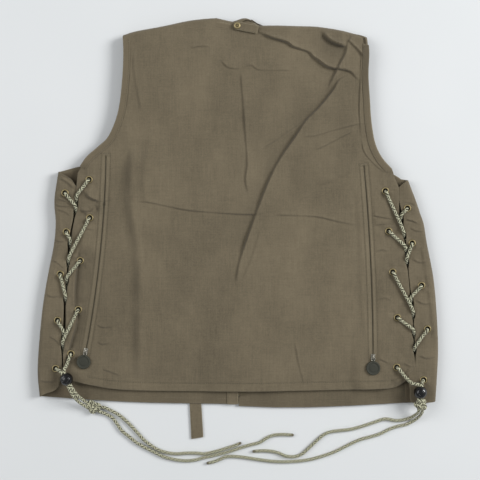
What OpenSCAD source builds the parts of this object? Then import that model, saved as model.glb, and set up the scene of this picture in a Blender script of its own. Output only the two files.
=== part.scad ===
// Fishing vest, laid flat on its front with the back panel up and both sides laced.
// X runs across the vest, Y from hem to nape, and Z up from the surface that it lies on.

/* [Garment] */
// Width across the hem, from side fold to side fold
vest_w = 600; // [570:5:630]
// Length from the nape to the end of the hem tab
vest_l = 632; // [600:4:664]
// Thickness of the outer cloth with its seam allowances
cloth_t = 1.4; // [1.2:0.1:1.6]
// Thickness of the lining cloth
lining_t = 1.0; // [0.8:0.1:1.2]
// Height of the empty body space between front and back
torso_gap = 7.4; // [7.4:0.2:12]
// Width of the bindings round the armholes and the neck
binding_w = 9; // [6:1:11]
// Depth of the flat front pockets under the front panels
pocket_depth = 3.4; // [3.4:0.2:6]

/* [Lacing] */
// Diameter of the braided cord
cord_d = 4.8; // [4:0.2:5]
// Outside diameter of an eyelet's flange
eyelet_d = 11.6; // [10:0.2:13]
// Diameter of an eyelet's hole
eyelet_hole = 6.6; // [6.4:0.1:7]
// Width of the open slit between the back panel and a front's wrapped edge
slit_w = 7; // [6:0.5:8]
// Diameter of a cord lock's ball
lock_d = 19.4; // [19:0.2:22]
// Diameter of a cord lock's plunger
plunger_d = 12.4; // [12:0.2:12.6]
// Distance that a plunger can be pressed in
press = 2.5; // [1:0.5:2.5]

/* [Zips] */
// Width of a zip's woven tape
tape_w = 24; // [18:1:28]
// Width of the closed coil
coil_w = 5; // [4:0.5:5.6]
// Diameter of a round zip pull
disc_d = 21; // [16:1:24]
// Thickness of a round zip pull
disc_t = 3; // [2:0.2:3]

/* [Small parts] */
// Diameter of the snap on the nape tab
snap_d = 10.5; // [8:0.5:12]
// Width of the nape tab
nape_tab_w = 12; // [9:1:14]

/* [Hidden] */

khaki = [0.46, 0.42, 0.34];
khaki_dark = [0.36, 0.33, 0.26];
cream = [0.76, 0.75, 0.63];
brass = [0.45, 0.42, 0.33];
steel = [0.7, 0.7, 0.7];
near_black = [0.06, 0.06, 0.06];
dark_green = [0.2, 0.22, 0.18];

sx = vest_w / 600;
sy = vest_l / 632;
eps = 0.1;

// heights of the layers, from the surface up
front_z = pocket_depth;
front_top = front_z + cloth_t;
lining_z = front_top + torso_gap;
lining_top = lining_z + lining_t;
tape_t = 0.6;
tape_z = lining_top + eps;
coil_t = 1.4;
coil_z = tape_z + tape_t;
back_z = tape_z + tape_t + 0.5;
back_top = back_z + cloth_t;
flange_t = 0.6;
flange_top = back_top + eps + flange_t;
barrel_t = 0.5;

// heights of the lacing's centre line
over_z = back_top + cord_d / 2 + eps;
bend_r = 4;
under_mid = lining_z - 0.5 - bend_r;
floor_z = cord_d / 2 + eps;
lock_z = back_top + lock_d / 2 + 0.2;

function at(p) = [p.x * sx, p.y * sy];
function fit(list) = [for (p = list) at(p)];
function at3(p) = [p.x * sx, p.y * sy, p.z];
function fit3(list) = [for (p = list) at3(p)];
function reverse(list) = [for (i = [len(list) - 1 : -1 : 0]) list[i]];
function shifted(list, dx) = [for (p = list) [p.x + dx, p.y]];
function unit(v) = v / norm(v);
function last(list) = list[len(list) - 1];

// outline points of the garment, in the order that each edge is walked
left_shoulder = [[-172, 290], [-157, 295], [-114, 303], [-70, 312], [-32, 316]];
back_neck = [[-8, 311], [12, 316], [32, 305]];
right_shoulder = [[87, 304], [120, 303], [155, 297], [192, 287]];
right_armhole = [[195, 263], [194, 230], [196, 197], [199, 157], [205, 126], [215, 106], [230, 89]];
left_armhole = [[-170, 256], [-172, 219], [-177, 179], [-185, 153], [-195, 135], [-208, 123], [-224, 109]];
left_slit = [[-240, 84], [-242, 60], [-241, 39], [-244, 21], [-251, -18], [-253, -46], [-255, -78],
             [-258, -106], [-259, -144], [-261, -166], [-262, -184], [-261, -214]];
right_slit = [[242, 82], [241, 58], [242, 31], [246, 8], [250, -20], [253, -50], [258, -99],
              [262, -124], [262, -147], [264, -178], [265, -214]];
left_fold = [[-270, 80], [-275, 42], [-273, 8], [-276, -25], [-283, -60], [-291, -106],
             [-296, -150], [-300, -214], [-297, -251]];
right_fold = [[256, 70], [272, 27], [278, 10], [283, -20], [293, -73], [298, -128], [300, -183],
              [298, -227], [296, -258]];
back_hem = [[-250, -226], [-224, -232], [-195, -238], [-158, -241], [-12, -243], [142, -241],
            [208, -239], [232, -237], [246, -231]];
front_hem_left = [[-246, -255], [-158, -260], [-74, -262], [-5, -263]];
front_hem_right = [[5, -266], [61, -268], [133, -267], [252, -261], [279, -260]];
neck_point = [0, 160];

// eyelet centres from the armhole down
left_back_eyes = [[-222, 74], [-221, 17], [-235, -47], [-238, -120], [-249, -186]];
left_front_eyes = [[-258, 54], [-256, -4], [-265, -67], [-269, -136], [-272, -208]];
right_back_eyes = [[220, 57], [225, -3], [231, -64], [238, -132], [237, -206]];
right_front_eyes = [[253, 31], [260, -21], [274, -84], [283, -149], [277, -225]];

// side edges of the cloth on both sides of each slit
left_back_edge = shifted(left_slit, slit_w / 2);
left_strip_edge = shifted(left_slit, -slit_w / 2);
right_back_edge = shifted(right_slit, -slit_w / 2);
right_strip_edge = shifted(right_slit, slit_w / 2);

// ---- cord tubes -------------------------------------------------------------

// a unit vector square to t, as near to v as can be
function squared(v, t) = unit(v - t * (v * t));
function tangent(p, i) = unit(p[min(i + 1, len(p) - 1)] - p[max(i - 1, 0)]);
// normals carried along the path without twist
function normals(p) = [for (i = 0, v = squared([0.3, 0.2, 1], tangent(p, 0)); i < len(p);
                            i = i + 1, v = i < len(p) ? squared(v, tangent(p, i)) : v) v];

// a closed tube of `sides` flats along the path p
module tube(p, d, sides = 8) {
    n = normals(p);
    points = [for (i = [0 : len(p) - 1], k = [0 : sides - 1])
        let (t = tangent(p, i), a = 360 * k / sides)
        p[i] + d / 2 * (cos(a) * n[i] + sin(a) * cross(t, n[i]))];
    walls = [for (i = [0 : len(p) - 2], k = [0 : sides - 1])
        let (a = i * sides + k, b = i * sides + (k + 1) % sides)
        each [[a, a + sides, b], [b, a + sides, b + sides]]];
    first = [for (k = [0 : sides - 1]) k];
    final = [for (k = [sides - 1 : -1 : 0]) (len(p) - 1) * sides + k];
    polyhedron(points, concat([first], walls, [final]));
}

function flat(p, z) = [p.x, p.y, z];
// the bend by which a cord comes from `from` below, up through eyelet e, and turns to `to` above
function climb(from, e, to) = let (c = at(e), u = unit(at(from) - c), o = unit(at(to) - c)) [
    flat(c + u * bend_r, under_mid),
    flat(c + u * 0.3 * bend_r, under_mid + 0.3 * bend_r),
    flat(c, under_mid + bend_r),
    flat(c, flange_top),
    flat(c + o * 0.3 * bend_r, flange_top + 0.7 * bend_r),
    flat(c + o * bend_r, flange_top + bend_r)];
// where it comes down onto the cloth beyond that eyelet
function landing(e, to) = let (c = at(e)) flat(c + unit(at(to) - c) * 2.5 * bend_r, over_z);
// the dive by which a cord on top sinks into the slit at p and passes below at q
function dive(p, q) = let (a = at(p), b = at(q)) [
    flat(a, over_z), flat((a + b) / 2, (over_z + under_mid) / 2), flat(b, under_mid)];

// Each side's cord is two runs joined below the first two eyelets: run A goes up through the
// back panel's first eyelet, and run B through the front's. [x, y] pairs are where a run
// enters the slit and where it has passed below the cloth.
left_a_dives = [[[-240, 50], [-243, 38]], [[-250, -15], [-251, -27]],
                [[-255, -72], [-257, -83]], [[-260, -152], [-261, -163]]];
left_b_dives = [[[-242.5, 35], [-241, 24]], [[-252, -43], [-254, -54]],
                [[-257, -99], [-257, -109]], [[-261, -168], [-262, -179]]];
right_a_dives = [[[247, -4], [249, -14]], [[252, -43], [252, -54]],
                 [[261, -122], [262, -133]], [[265, -174], [262, -185]]];
right_b_dives = [[[244, 22], [243, 11]], [[250, -27], [251, -38]],
                 [[258, -102], [259, -113]], [[261.5, -150], [265, -161]]];

// eyelets that each run climbs through, from the top
function alternate(first, second) = [first[0], second[1], first[2], second[3], first[4]];
left_a_eyes = alternate(left_back_eyes, left_front_eyes);
left_b_eyes = alternate(left_front_eyes, left_back_eyes);
right_a_eyes = alternate(right_back_eyes, right_front_eyes);
right_b_eyes = alternate(right_front_eyes, right_back_eyes);

function run(eyes, dives, start, finish) = [for (i = [0 : len(eyes) - 1]) each concat(
    climb(i == 0 ? start : dives[i - 1][1], eyes[i], i < len(dives) ? dives[i][0] : finish),
    i < len(dives) ? [landing(eyes[i], dives[i][0])] : [],
    i < len(dives) ? dive(dives[i][0], dives[i][1]) : [])];

// the left lock lies on the back panel's corner and slides 12 mm towards its knot
left_lock_at = [-254, -222.5];
left_lock_dir = [0.454, -0.891];
left_slide = 12;
right_lock_at = [270.5, -242];
right_lock_dir = [0, -1];
pair_gap = cord_d + 0.1;

// a point s along a lock's axis and h beside it, at the height of its tunnel
function beside(lock, dir, s, h) = let (c = at(lock) + dir * s + [-dir.y, dir.x] * h) flat(c, lock_z);
function through(lock, dir, h, from, to) = [beside(lock, dir, from, h), beside(lock, dir, to, h)];

left_knot_at = [-217, -268, 7.2];
left_knot_size = [21, 17, 14];
right_knot_at = [270.5, -260.5, 23];
right_knot_size = [19, 15, 13];
left_a_end = concat(fit3([[-255, -203, 20.5]]),
                    through(left_lock_at, left_lock_dir, pair_gap / 2, -13, 25),
                    fit3([[-233, -253, 17], [-224, -262, 9]]));
left_b_end = concat(through(left_lock_at, left_lock_dir, -pair_gap / 2, -13, 25),
                    fit3([[-239, -256, 17], [-225, -268, 8]]));
right_a_end = concat(fit3([[250, -221, 19], [260, -229.5, 23.5]]),
                     through(right_lock_at, right_lock_dir, -pair_gap / 2, -11, 13));
right_b_end = through(right_lock_at, right_lock_dir, pair_gap / 2, -11, 13);

// free tails, from each knot to the sealed end
left_tail_a_route = [[-209, -267.5, 6], [-202, -268, 3], [-191, -273, 2.5], [-180, -279, 2.5],
    [-169, -288, 2.5], [-158, -299, 2.5], [-149, -309, 2.5], [-140, -318.5, 2.5], [-130, -326, 2.5],
    [-120, -332, 2.5], [-106, -336.5, 2.5], [-92, -338, 2.5], [-77, -337, 2.5], [-63, -337, 2.5],
    [-50, -338, 2.5], [-40, -336, 2.5], [-28, -333, 2.5], [-12, -328, 2.5], [-3, -325, 2.5],
    [5, -321.5, 2.5]];
left_tail_b_route = [[-209, -273.5, 6], [-201, -277, 3], [-189, -284, 2.5], [-182, -293, 2.5],
    [-175, -303, 2.5], [-164, -312, 2.5], [-153, -321, 2.5], [-139, -329, 2.5], [-125, -336, 2.5],
    [-113, -342, 2.5], [-101, -345.5, 2.5], [-87, -348, 2.5], [-74, -348.5, 2.5], [-62, -347, 2.5],
    [-52, -344, 2.5], [-40, -341.5, 2.5], [-28, -338.5, 2.5], [-14, -335, 2.5], [1, -330, 2.5],
    [17, -325, 2.5], [33, -321, 2.5], [42, -315, 2.5], [52, -310.5, 2.5], [67, -309, 2.5],
    [84, -310, 2.5]];
right_tail_a_route = [[269, -266, 22], [269, -272, 19], [265.5, -278, 11], [259, -283.5, 4.5],
    [249, -287, 2.5], [237, -288, 2.5], [222, -285.5, 2.5], [204, -291, 2.5], [189, -296, 2.5],
    [175, -300, 2.5], [164, -302, 2.5], [153, -303, 2.5], [136, -306, 2.5], [127, -311, 2.5],
    [120, -317, 2.5], [112, -324.5, 2.5], [105, -331, 2.5], [97, -338, 2.5], [87, -342, 2.5],
    [72, -341.5, 2.5], [59, -336, 2.5], [41, -333.5, 2.5], [22, -334.5, 2.5]];
right_tail_b_route = [[274, -266, 22], [274.5, -273, 18], [271, -281, 10], [263.5, -288.5, 4],
    [253, -294, 2.5], [241, -296.5, 2.5], [228, -301, 2.5], [215, -307.5, 2.5], [201, -312, 2.5],
    [186, -316, 2.5], [173, -321.5, 2.5], [160, -328, 2.5], [149, -333.5, 2.5], [138, -338, 2.5],
    [124, -342.5, 2.5], [109, -346.5, 2.5], [96, -348.5, 2.5], [83, -349.5, 2.5], [68, -350, 2.5],
    [54, -349.5, 2.5], [40, -348, 2.5], [26, -346, 2.5], [10, -343.5, 2.5], [-7, -342, 2.5],
    [-18, -342.5, 2.5], [-27, -346.5, 2.5], [-36, -350, 2.5], [-47, -352.5, 2.5]];

// ---- cloth ------------------------------------------------------------------

module sheet(outline, z, t) {
    translate([0, 0, z]) linear_extrude(t) polygon(outline);
}

module eyelet_holes(eyes, z, t) {
    for (e = eyes) translate(flat(at(e), z - 1))
        cylinder(h = t + 2, d = eyelet_hole + 2 * barrel_t + 0.3, $fn = 32);
}

back_outline = concat(left_shoulder, back_neck, right_shoulder, right_armhole, right_back_edge,
                      reverse(back_hem), reverse(left_back_edge), reverse(left_armhole));

// outer cloth of the back, with a slot for each vertical zip
module back_outer() {
    color(khaki) difference() {
        sheet(fit(back_outline), back_z, cloth_t);
        eyelet_holes(left_back_eyes, back_z, cloth_t);
        eyelet_holes(right_back_eyes, back_z, cloth_t);
        sheet(band(left_zip, -slot_below, slot_above, slot_w / 2), back_z - 1, cloth_t + 2);
        sheet(band(right_zip, -slot_below, slot_above, slot_w / 2), back_z - 1, cloth_t + 2);
    }
}

lining_outline = concat(
    [[-166, 286], [-112, 299], [-70, 307], [-32, 310], [-8, 306], [30, 300], [87, 299], [155, 292], [186, 284]],
    shifted(right_armhole, -3), shifted(right_back_edge, -1), reverse(back_hem),
    shifted(reverse(left_back_edge), 1), shifted(reverse(left_armhole), 3));

// inner cloth of the back, which closes the big rear pocket
module back_lining() {
    color(khaki_dark) difference() {
        sheet(fit(lining_outline), lining_z, lining_t);
        eyelet_holes(left_back_eyes, lining_z, lining_t);
        eyelet_holes(right_back_eyes, lining_z, lining_t);
    }
}

// a thin upright strip of cloth along an open line, its other face moved by dx and dy
module upright(line, dx, dy, z0, z1) {
    moved = [for (p = line) [p.x + dx, p.y + dy]];
    sheet(fit(concat(line, reverse(moved))), z0, z1 - z0);
}

left_front_armhole = [[-160, 240], [-150, 190], [-160, 140], [-190, 110], [-237, 93]];
right_front_armhole = [[178, 240], [168, 190], [178, 140], [205, 103], [248, 76]];
centre_gap = 5;

// A front panel lies under the back, rises at the shoulder and the side fold, and comes
// back on top as the laced side strip.
module left_front() {
    panel = concat(left_shoulder, [[-30, 285], [-20, 225], [-centre_gap, neck_point.y]],
                   reverse(front_hem_left), reverse(left_fold), [[-252, 90]], reverse(left_front_armhole));
    strip = concat([for (p = left_fold) if (p.y < 80) p], [[-288, -244], [-272, -239]],
                   [for (p = reverse(left_strip_edge)) if (p.y < 62) p], [[-250, 72], [-262, 80]]);
    color(khaki) difference() {
        union() {
            sheet(fit(panel), front_z, cloth_t);
            sheet(fit(strip), back_z, cloth_t);
            upright(left_fold, cloth_t, 0, front_z, back_top);
            upright(left_shoulder, 0.3, -cloth_t, front_z, back_z - eps);
        }
        eyelet_holes(left_front_eyes, back_z, cloth_t);
    }
}

module right_front() {
    panel = concat([[30, 285]], right_shoulder, right_front_armhole, right_fold,
                   reverse(front_hem_right), [[centre_gap, neck_point.y], [20, 225]]);
    strip = concat([for (p = reverse(right_fold)) if (p.y < 70) p], [[254, 73], [247, 66]],
                   [for (p = right_strip_edge) if (p.y < 62) p], [[266, -258]]);
    color(khaki) difference() {
        union() {
            sheet(fit(panel), front_z, cloth_t);
            sheet(fit(strip), back_z, cloth_t);
            upright(right_fold, -cloth_t, 0, front_z, back_top);
            upright(right_shoulder, -0.3, -cloth_t, front_z, back_z - eps);
        }
        eyelet_holes(right_front_eyes, back_z, cloth_t);
    }
}

// wind strip behind the front zip, sewn to the left front
module front_placket() {
    color(khaki) sheet(fit([[-16, -262], [1, -262], [1, 140], [-16, 140]]),
                       front_top + 2 * eps + tape_t, lining_t);
}

// a band of binding along an edge line, on top of the cloth at height z
module binding(line, dx, dy, z) {
    color(khaki_dark) upright(line, dx, dy, z, z + 1);
}

module left_armhole_binding() {
    binding(concat([[-171, 284]], left_armhole, [[-234, 97]]), binding_w, 0, back_top + eps);
    binding(left_front_armhole, -0.8 * binding_w, 0, front_top + eps);
}

module right_armhole_binding() {
    binding(concat([[193, 282]], right_armhole, [[237, 85]]), -binding_w, 0, back_top + eps);
    binding(right_front_armhole, 0.8 * binding_w, 0, front_top + eps);
}

// back of the neck only: the tab lies over it
module neck_binding() {
    binding([[-32, 316], [-20, 314], [-8, 311]], 0, -binding_w, back_top + eps);
}

// ---- front pockets, flat under the front panels -------------------------------

// a flat patch pocket: its face, with side walls up to the panel
module pocket(x0, x1, y0, y1, z) {
    a = at([x0, y0]);
    b = at([x1, y1]);
    difference() {
        translate(flat(a, z)) cube([b.x - a.x, b.y - a.y, front_z - eps - z]);
        translate(flat(a + [cloth_t, cloth_t], z + 1))
            cube([b.x - a.x - 2 * cloth_t, b.y - a.y, front_z]);
    }
}

flap_t = 1;
module left_chest_pocket() { color(khaki) pocket(-140, -60, 60, 150, 0); }
module right_chest_pocket() { color(khaki) pocket(60, 140, 60, 150, 0); }
module left_lower_pocket() { color(khaki) pocket(-215, -61, -225, -58, 0); }
module right_lower_pocket() { color(khaki) pocket(61, 215, -225, -58, 0); }

module flap(x0, x1) {
    a = at([x0, -56]);
    b = at([x1, -22]);
    color(khaki) translate(flat(a, front_z - eps - flap_t)) cube([b.x - a.x, b.y - a.y, flap_t]);
}

module left_pocket_flap() { flap(-219, -57); }
module right_pocket_flap() { flap(57, 219); }

// ---- zips -----------------------------------------------------------------------

// a back zip is [top point, bottom point, bow towards +X]
left_zip = [[-197, 106], [-227, -182], 6];
right_zip = [[188.5, 91], [201.7, -191], 3];
slot_w = 10;
plate_l = 11;
slot_above = 4;
slot_below = plate_l / 2 + 1.5;
plate_w = 8.4;
plate_t = 1.2;
plate_z = back_z + 1;
plate_top = plate_z + plate_t;
flange_in = coil_w / 2 + 0.4;

// radius and centre of the arc that a back zip follows
function zip_chord(z) = norm(at(z[1]) - at(z[0]));
function zip_r(z) = (pow(zip_chord(z) / 2, 2) + z[2] * z[2]) / (2 * z[2]);
function zip_side(z) = let (u = unit(at(z[1]) - at(z[0]))) [u.y, -u.x];
function zip_centre(z) = (at(z[0]) + at(z[1])) / 2 + zip_side(z) * (zip_r(z) - z[2]);
// the point a share s of the way down a zip, and h to the side
function zip_angle(z, s) = let (c = zip_centre(z), a = at(z[0]) - c, b = at(z[1]) - c)
    atan2(a.y, a.x) * (1 - s) + atan2(b.y, b.x) * s;
function on_zip(z, s, h) = let (a = zip_angle(z, s)) zip_centre(z) + (zip_r(z) + h) * [cos(a), sin(a)];
// direction up the zip at its lower end
function zip_up(z) = let (a = zip_angle(z, 1)) [-sin(a), cos(a)];

zip_steps = 14;
// outline of a band along a zip, with extra lengths below and above in mm
function band(z, below, above, half) = let (l = zip_chord(z)) concat(
    [for (i = [0 : zip_steps]) on_zip(z, (i / zip_steps) * (1 + (above - below) / l) - above / l, half)],
    [for (i = [zip_steps : -1 : 0]) on_zip(z, (i / zip_steps) * (1 + (above - below) / l) - above / l, -half)]);

module zip_tape(z) {
    color(khaki_dark) sheet(band(z, -12, 10, tape_w / 2), tape_z, tape_t);
}

// closed coil with a stop at its top end
module zip_coil(z) {
    color(khaki_dark) sheet(band(z, -3, 0, coil_w / 2), coil_z + eps, coil_t - eps);
    color(khaki_dark) sheet([for (s = [0, 3], h = s == 0 ? [-3.6, 3.6] : [3.6, -3.6])
        on_zip(z, -s / zip_chord(z), h)], coil_z + eps, coil_t);
}

module at_slider(z) {
    up = zip_up(z);
    translate(flat(at(z[1]), 0)) rotate(atan2(up.y, up.x) - 90) children();
}

link_z = plate_top + 0.9;
bridge_h = 1.8;
bridge_l = 3.2;

// slider with two flanges beside the coil and a bridge that holds the link
module slider_body() {
    translate([-plate_w / 2, -plate_l / 2, plate_z]) cube([plate_w, plate_l, plate_t]);
    for (side = [-1, 1]) translate([side > 0 ? flange_in : -plate_w / 2, -plate_l / 2, coil_z + eps])
        cube([plate_w / 2 - flange_in, plate_l, plate_z - coil_z]);
    for (side = [-1, 1]) translate([-0.8, side > 0 ? bridge_l - 1.2 : -bridge_l, plate_top - 0.01])
        cube([1.6, 1.2, bridge_h]);
    translate([-0.8, -bridge_l, plate_top + bridge_h - 0.01]) cube([1.6, 2 * bridge_l, 0.8]);
}

link_r = 3;
link_wire = 1.2;
module pull_link() {
    translate([0, -link_r, link_z]) rotate_extrude($fn = 36) translate([link_r, 0]) circle(d = link_wire, $fn = 16);
}

disc_y = -16.3;
module pull_disc() {
    translate([0, disc_y, link_z - disc_t / 2]) {
        difference() {
            cylinder(h = disc_t, d = disc_d, $fn = 48);
            translate([0, 0, disc_t - 0.6]) cylinder(h = 1, d = disc_d - 5, $fn = 48);
        }
        cylinder(h = disc_t - 0.3, d = disc_d - 9, $fn = 48);
    }
}

module left_zip_tape() { zip_tape(left_zip); }
module left_zip_coil() { zip_coil(left_zip); }
module left_zip_slider() { color(steel) at_slider(left_zip) slider_body(); }
module left_pull_link() { color(steel) at_slider(left_zip) pull_link(); }
module left_pull_disc() { color(dark_green) at_slider(left_zip) pull_disc(); }
module right_zip_tape() { zip_tape(right_zip); }
module right_zip_coil() { zip_coil(right_zip); }
module right_zip_slider() { color(steel) at_slider(right_zip) slider_body(); }
module right_pull_link() { color(steel) at_slider(right_zip) pull_link(); }
module right_pull_disc() { color(dark_green) at_slider(right_zip) pull_disc(); }

// front zip, on the centre line between the front panels, slider closed at the top
front_zip_low = -250;
front_slider_y = 128;

module front_zip_tape() {
    color(khaki_dark) translate(flat(at([0, front_zip_low]) - [tape_w / 2, 0], front_top + eps))
        cube([tape_w, (front_slider_y + 20 - front_zip_low) * sy, tape_t]);
}

module front_zip_coil() {
    color(khaki_dark) translate(flat(at([0, front_zip_low]) - [coil_w / 2, 0], front_z + eps))
        cube([coil_w, (front_slider_y + 6 - front_zip_low) * sy, cloth_t]);
}

front_plate_z = front_z - plate_t - eps;
pull_axis_z = 1;
module front_zip_slider() {
    color(steel) translate(flat(at([0, front_slider_y]), 0)) {
        translate([-4.2, -6, front_plate_z]) cube([8.4, 12, plate_t]);
        for (side = [-1, 1]) translate([side > 0 ? flange_in : -4.2, -6, front_z - 2 * eps])
            cube([4.2 - flange_in, 12, cloth_t]);
        for (side = [-1, 1]) translate([side * 2.7 - 0.6, -1.2, 0.2]) cube([1.2, 2.4, front_plate_z]);
        translate([-3, 0, pull_axis_z]) rotate([0, 90, 0]) cylinder(h = 6, d = 0.8, $fn = 24);
    }
}

module front_zip_pull() {
    color(steel) translate(flat(at([0, front_slider_y]), pull_axis_z)) difference() {
        union() {
            translate([-1.9, 0, 0]) rotate([0, 90, 0]) cylinder(h = 3.8, d = 1.6, $fn = 24);
            translate([-1.9, -22, -0.6]) cube([3.8, 22, 1.2]);
        }
        translate([-3, 0, 0]) rotate([0, 90, 0]) cylinder(h = 6, d = 0.9, $fn = 24);
    }
}

// ---- eyelets ----------------------------------------------------------------------

// a rolled eyelet: flange above, barrel through the cloth, washer below
module eyelet(low) {
    r = eyelet_hole / 2;
    top = back_top + eps;
    rotate_extrude($fn = 36) union() {
        translate([r, low - 0.5]) square([barrel_t, top + flange_t - low + 0.5]);
        translate([r, top]) square([eyelet_d / 2 - r, flange_t]);
        translate([r, low - 0.5]) square([eyelet_d / 2 - r - 0.8, 0.5 - eps]);
    }
}

module eyelets(eyes, low) {
    color(brass) for (e = eyes) translate(flat(at(e), 0)) eyelet(low);
}

module left_back_eyelets() { eyelets(left_back_eyes, lining_z); }
module left_front_eyelets() { eyelets(left_front_eyes, back_z); }
module right_back_eyelets() { eyelets(right_back_eyes, lining_z); }
module right_front_eyelets() { eyelets(right_front_eyes, back_z); }

// ---- cords, locks and knots -----------------------------------------------------------

// one cord: run B's path backwards, then the bar below the slit, then run A
module lacing(a, b) {
    color(cream) tube(concat(reverse(b), a), cord_d);
}

module left_lacing() {
    a = concat(run(left_a_eyes, left_a_dives, left_front_eyes[0], [-255, -203]), left_a_end);
    b = concat(run(left_b_eyes, left_b_dives, left_back_eyes[0], [-261, -212]), left_b_end);
    lacing(a, b);
}

module right_lacing() {
    a = concat(run(right_a_eyes, right_a_dives, right_front_eyes[0], [262, -228]), right_a_end);
    b = concat(run(right_b_eyes, right_b_dives, right_back_eyes[0], [273, -229]), right_b_end);
    lacing(a, b);
}

tunnel_w = 2 * cord_d + 0.7;
tunnel_h = cord_d + 0.6;
bore_floor = -6.5;
well_d = 8;
well_floor = -8.2;
plunger_low = -tunnel_h / 2 - 1.2;
plunger_high = lock_d / 2 + 0.6;

module at_lock(lock, dir) {
    translate(flat(at(lock), lock_z)) rotate(atan2(dir.y, dir.x) + 90) children();
}

// ball with an upright bore for the plunger, a well for its spring and a tunnel for both cords
module lock_body() {
    difference() {
        sphere(d = lock_d, $fn = 48);
        translate([0, 0, bore_floor]) cylinder(h = lock_d, d = plunger_d + 0.4, $fn = 48);
        translate([0, 0, well_floor]) cylinder(h = lock_d, d = well_d, $fn = 48);
        cube([tunnel_w, 2 * lock_d, tunnel_h], center = true);
    }
}

module lock_plunger() {
    difference() {
        intersection() {
            translate([0, 0, plunger_low]) cylinder(h = plunger_high - plunger_low, d = plunger_d, $fn = 48);
            translate([0, 0, -2]) sphere(r = plunger_high + 2, $fn = 48);
        }
        translate([-tunnel_w / 2, -lock_d, -tunnel_h / 2]) cube([tunnel_w, 2 * lock_d, tunnel_h + press]);
    }
}

spring_turns = 2.5;
spring_wire = 0.7;
spring_steps = 12;
module lock_spring() {
    low = well_floor + spring_wire / 2 + eps;
    high = plunger_low - spring_wire / 2 - eps;
    steps = spring_turns * spring_steps;
    tube([for (i = [0 : steps]) let (a = 360 * i / spring_steps)
        [3.2 * cos(a), 3.2 * sin(a), low + (high - low) * i / steps]], spring_wire, 6);
}

module left_lock_body() { color(near_black) at_lock(left_lock_at, left_lock_dir) lock_body(); }
module left_lock_plunger() { color(near_black) at_lock(left_lock_at, left_lock_dir) lock_plunger(); }
module left_lock_spring() { color(steel) at_lock(left_lock_at, left_lock_dir) lock_spring(); }
module right_lock_body() { color(near_black) at_lock(right_lock_at, right_lock_dir) lock_body(); }
module right_lock_plunger() { color(near_black) at_lock(right_lock_at, right_lock_dir) lock_plunger(); }
module right_lock_spring() { color(steel) at_lock(right_lock_at, right_lock_dir) lock_spring(); }

// outer shape of an overhand knot tied in both cords
module knot(p, size) {
    color(cream) translate(at3(p)) scale([size.x / 10, size.y / 10, size.z / 10]) sphere(d = 10, $fn = 20);
}

module left_knot() { knot(left_knot_at, left_knot_size); }
module right_knot() { knot(right_knot_at, right_knot_size); }
module left_tail_a() { color(cream) tube(fit3(left_tail_a_route), cord_d); }
module left_tail_b() { color(cream) tube(fit3(left_tail_b_route), cord_d); }
module right_tail_a() { color(cream) tube(fit3(right_tail_a_route), cord_d); }
module right_tail_b() { color(cream) tube(fit3(right_tail_b_route), cord_d); }

// ---- tabs and snap ----------------------------------------------------------------------

snap_at = [-1, 303];
tab_end = [30, 297];
tab_z = back_top + 2.4;
tab_t = 1.4;
tab_dir = unit(at(tab_end) - at(snap_at));
tab_len = norm(at(tab_end) - at(snap_at));
stud_d = 3.6;

module at_snap(z) {
    translate(flat(at(snap_at), z)) rotate(atan2(tab_dir.y, tab_dir.x)) children();
}

// strap from the snap to its sewn end
module nape_tab() {
    color(khaki) at_snap(tab_z) difference() {
        union() {
            cylinder(h = tab_t, d = nape_tab_w, $fn = 40);
            translate([0, -nape_tab_w / 2, 0]) cube([tab_len, nape_tab_w, tab_t]);
        }
        translate([0, 0, -1]) cylinder(h = tab_t + 2, d = stud_d + 0.8, $fn = 32);
    }
}

module nape_snap_cap() {
    color(brass) at_snap(tab_z + tab_t + 0.05) {
        cylinder(h = 0.9, d = snap_d, $fn = 40);
        cylinder(h = 1.5, d1 = snap_d - 2, d2 = snap_d - 5, $fn = 40);
    }
}

module nape_snap_stud() {
    color(brass) at_snap(back_top + eps) {
        cylinder(h = 0.7, d = snap_d - 1.5, $fn = 40);
        cylinder(h = 3.1, d = stud_d, $fn = 32);
    }
}

hem_tab_corners = [[-72, -265], [-55, -265], [-52, -313], [-70, -316]];
hem_tab_z = 1;
hem_tab_t = 1.8;
module hem_tab() {
    color(khaki) sheet(fit(hem_tab_corners), hem_tab_z, hem_tab_t);
}

back_outer();
back_lining();
left_front();
right_front();
front_placket();
left_armhole_binding();
right_armhole_binding();
neck_binding();
left_chest_pocket();
right_chest_pocket();
left_lower_pocket();
right_lower_pocket();
left_pocket_flap();
right_pocket_flap();
left_zip_tape();
left_zip_coil();
left_zip_slider();
left_pull_link();
left_pull_disc();
right_zip_tape();
right_zip_coil();
right_zip_slider();
right_pull_link();
right_pull_disc();
front_zip_tape();
front_zip_coil();
front_zip_slider();
front_zip_pull();
left_back_eyelets();
left_front_eyelets();
right_back_eyelets();
right_front_eyelets();
left_lacing();
right_lacing();
left_lock_body();
left_lock_plunger();
left_lock_spring();
right_lock_body();
right_lock_plunger();
right_lock_spring();
left_knot();
right_knot();
left_tail_a();
left_tail_b();
right_tail_a();
right_tail_b();
nape_tab();
nape_snap_cap();
nape_snap_stud();
hem_tab();
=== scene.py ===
import math

import bpy
import numpy as np
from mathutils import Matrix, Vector
from mathutils.geometry import delaunay_2d_cdt


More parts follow.
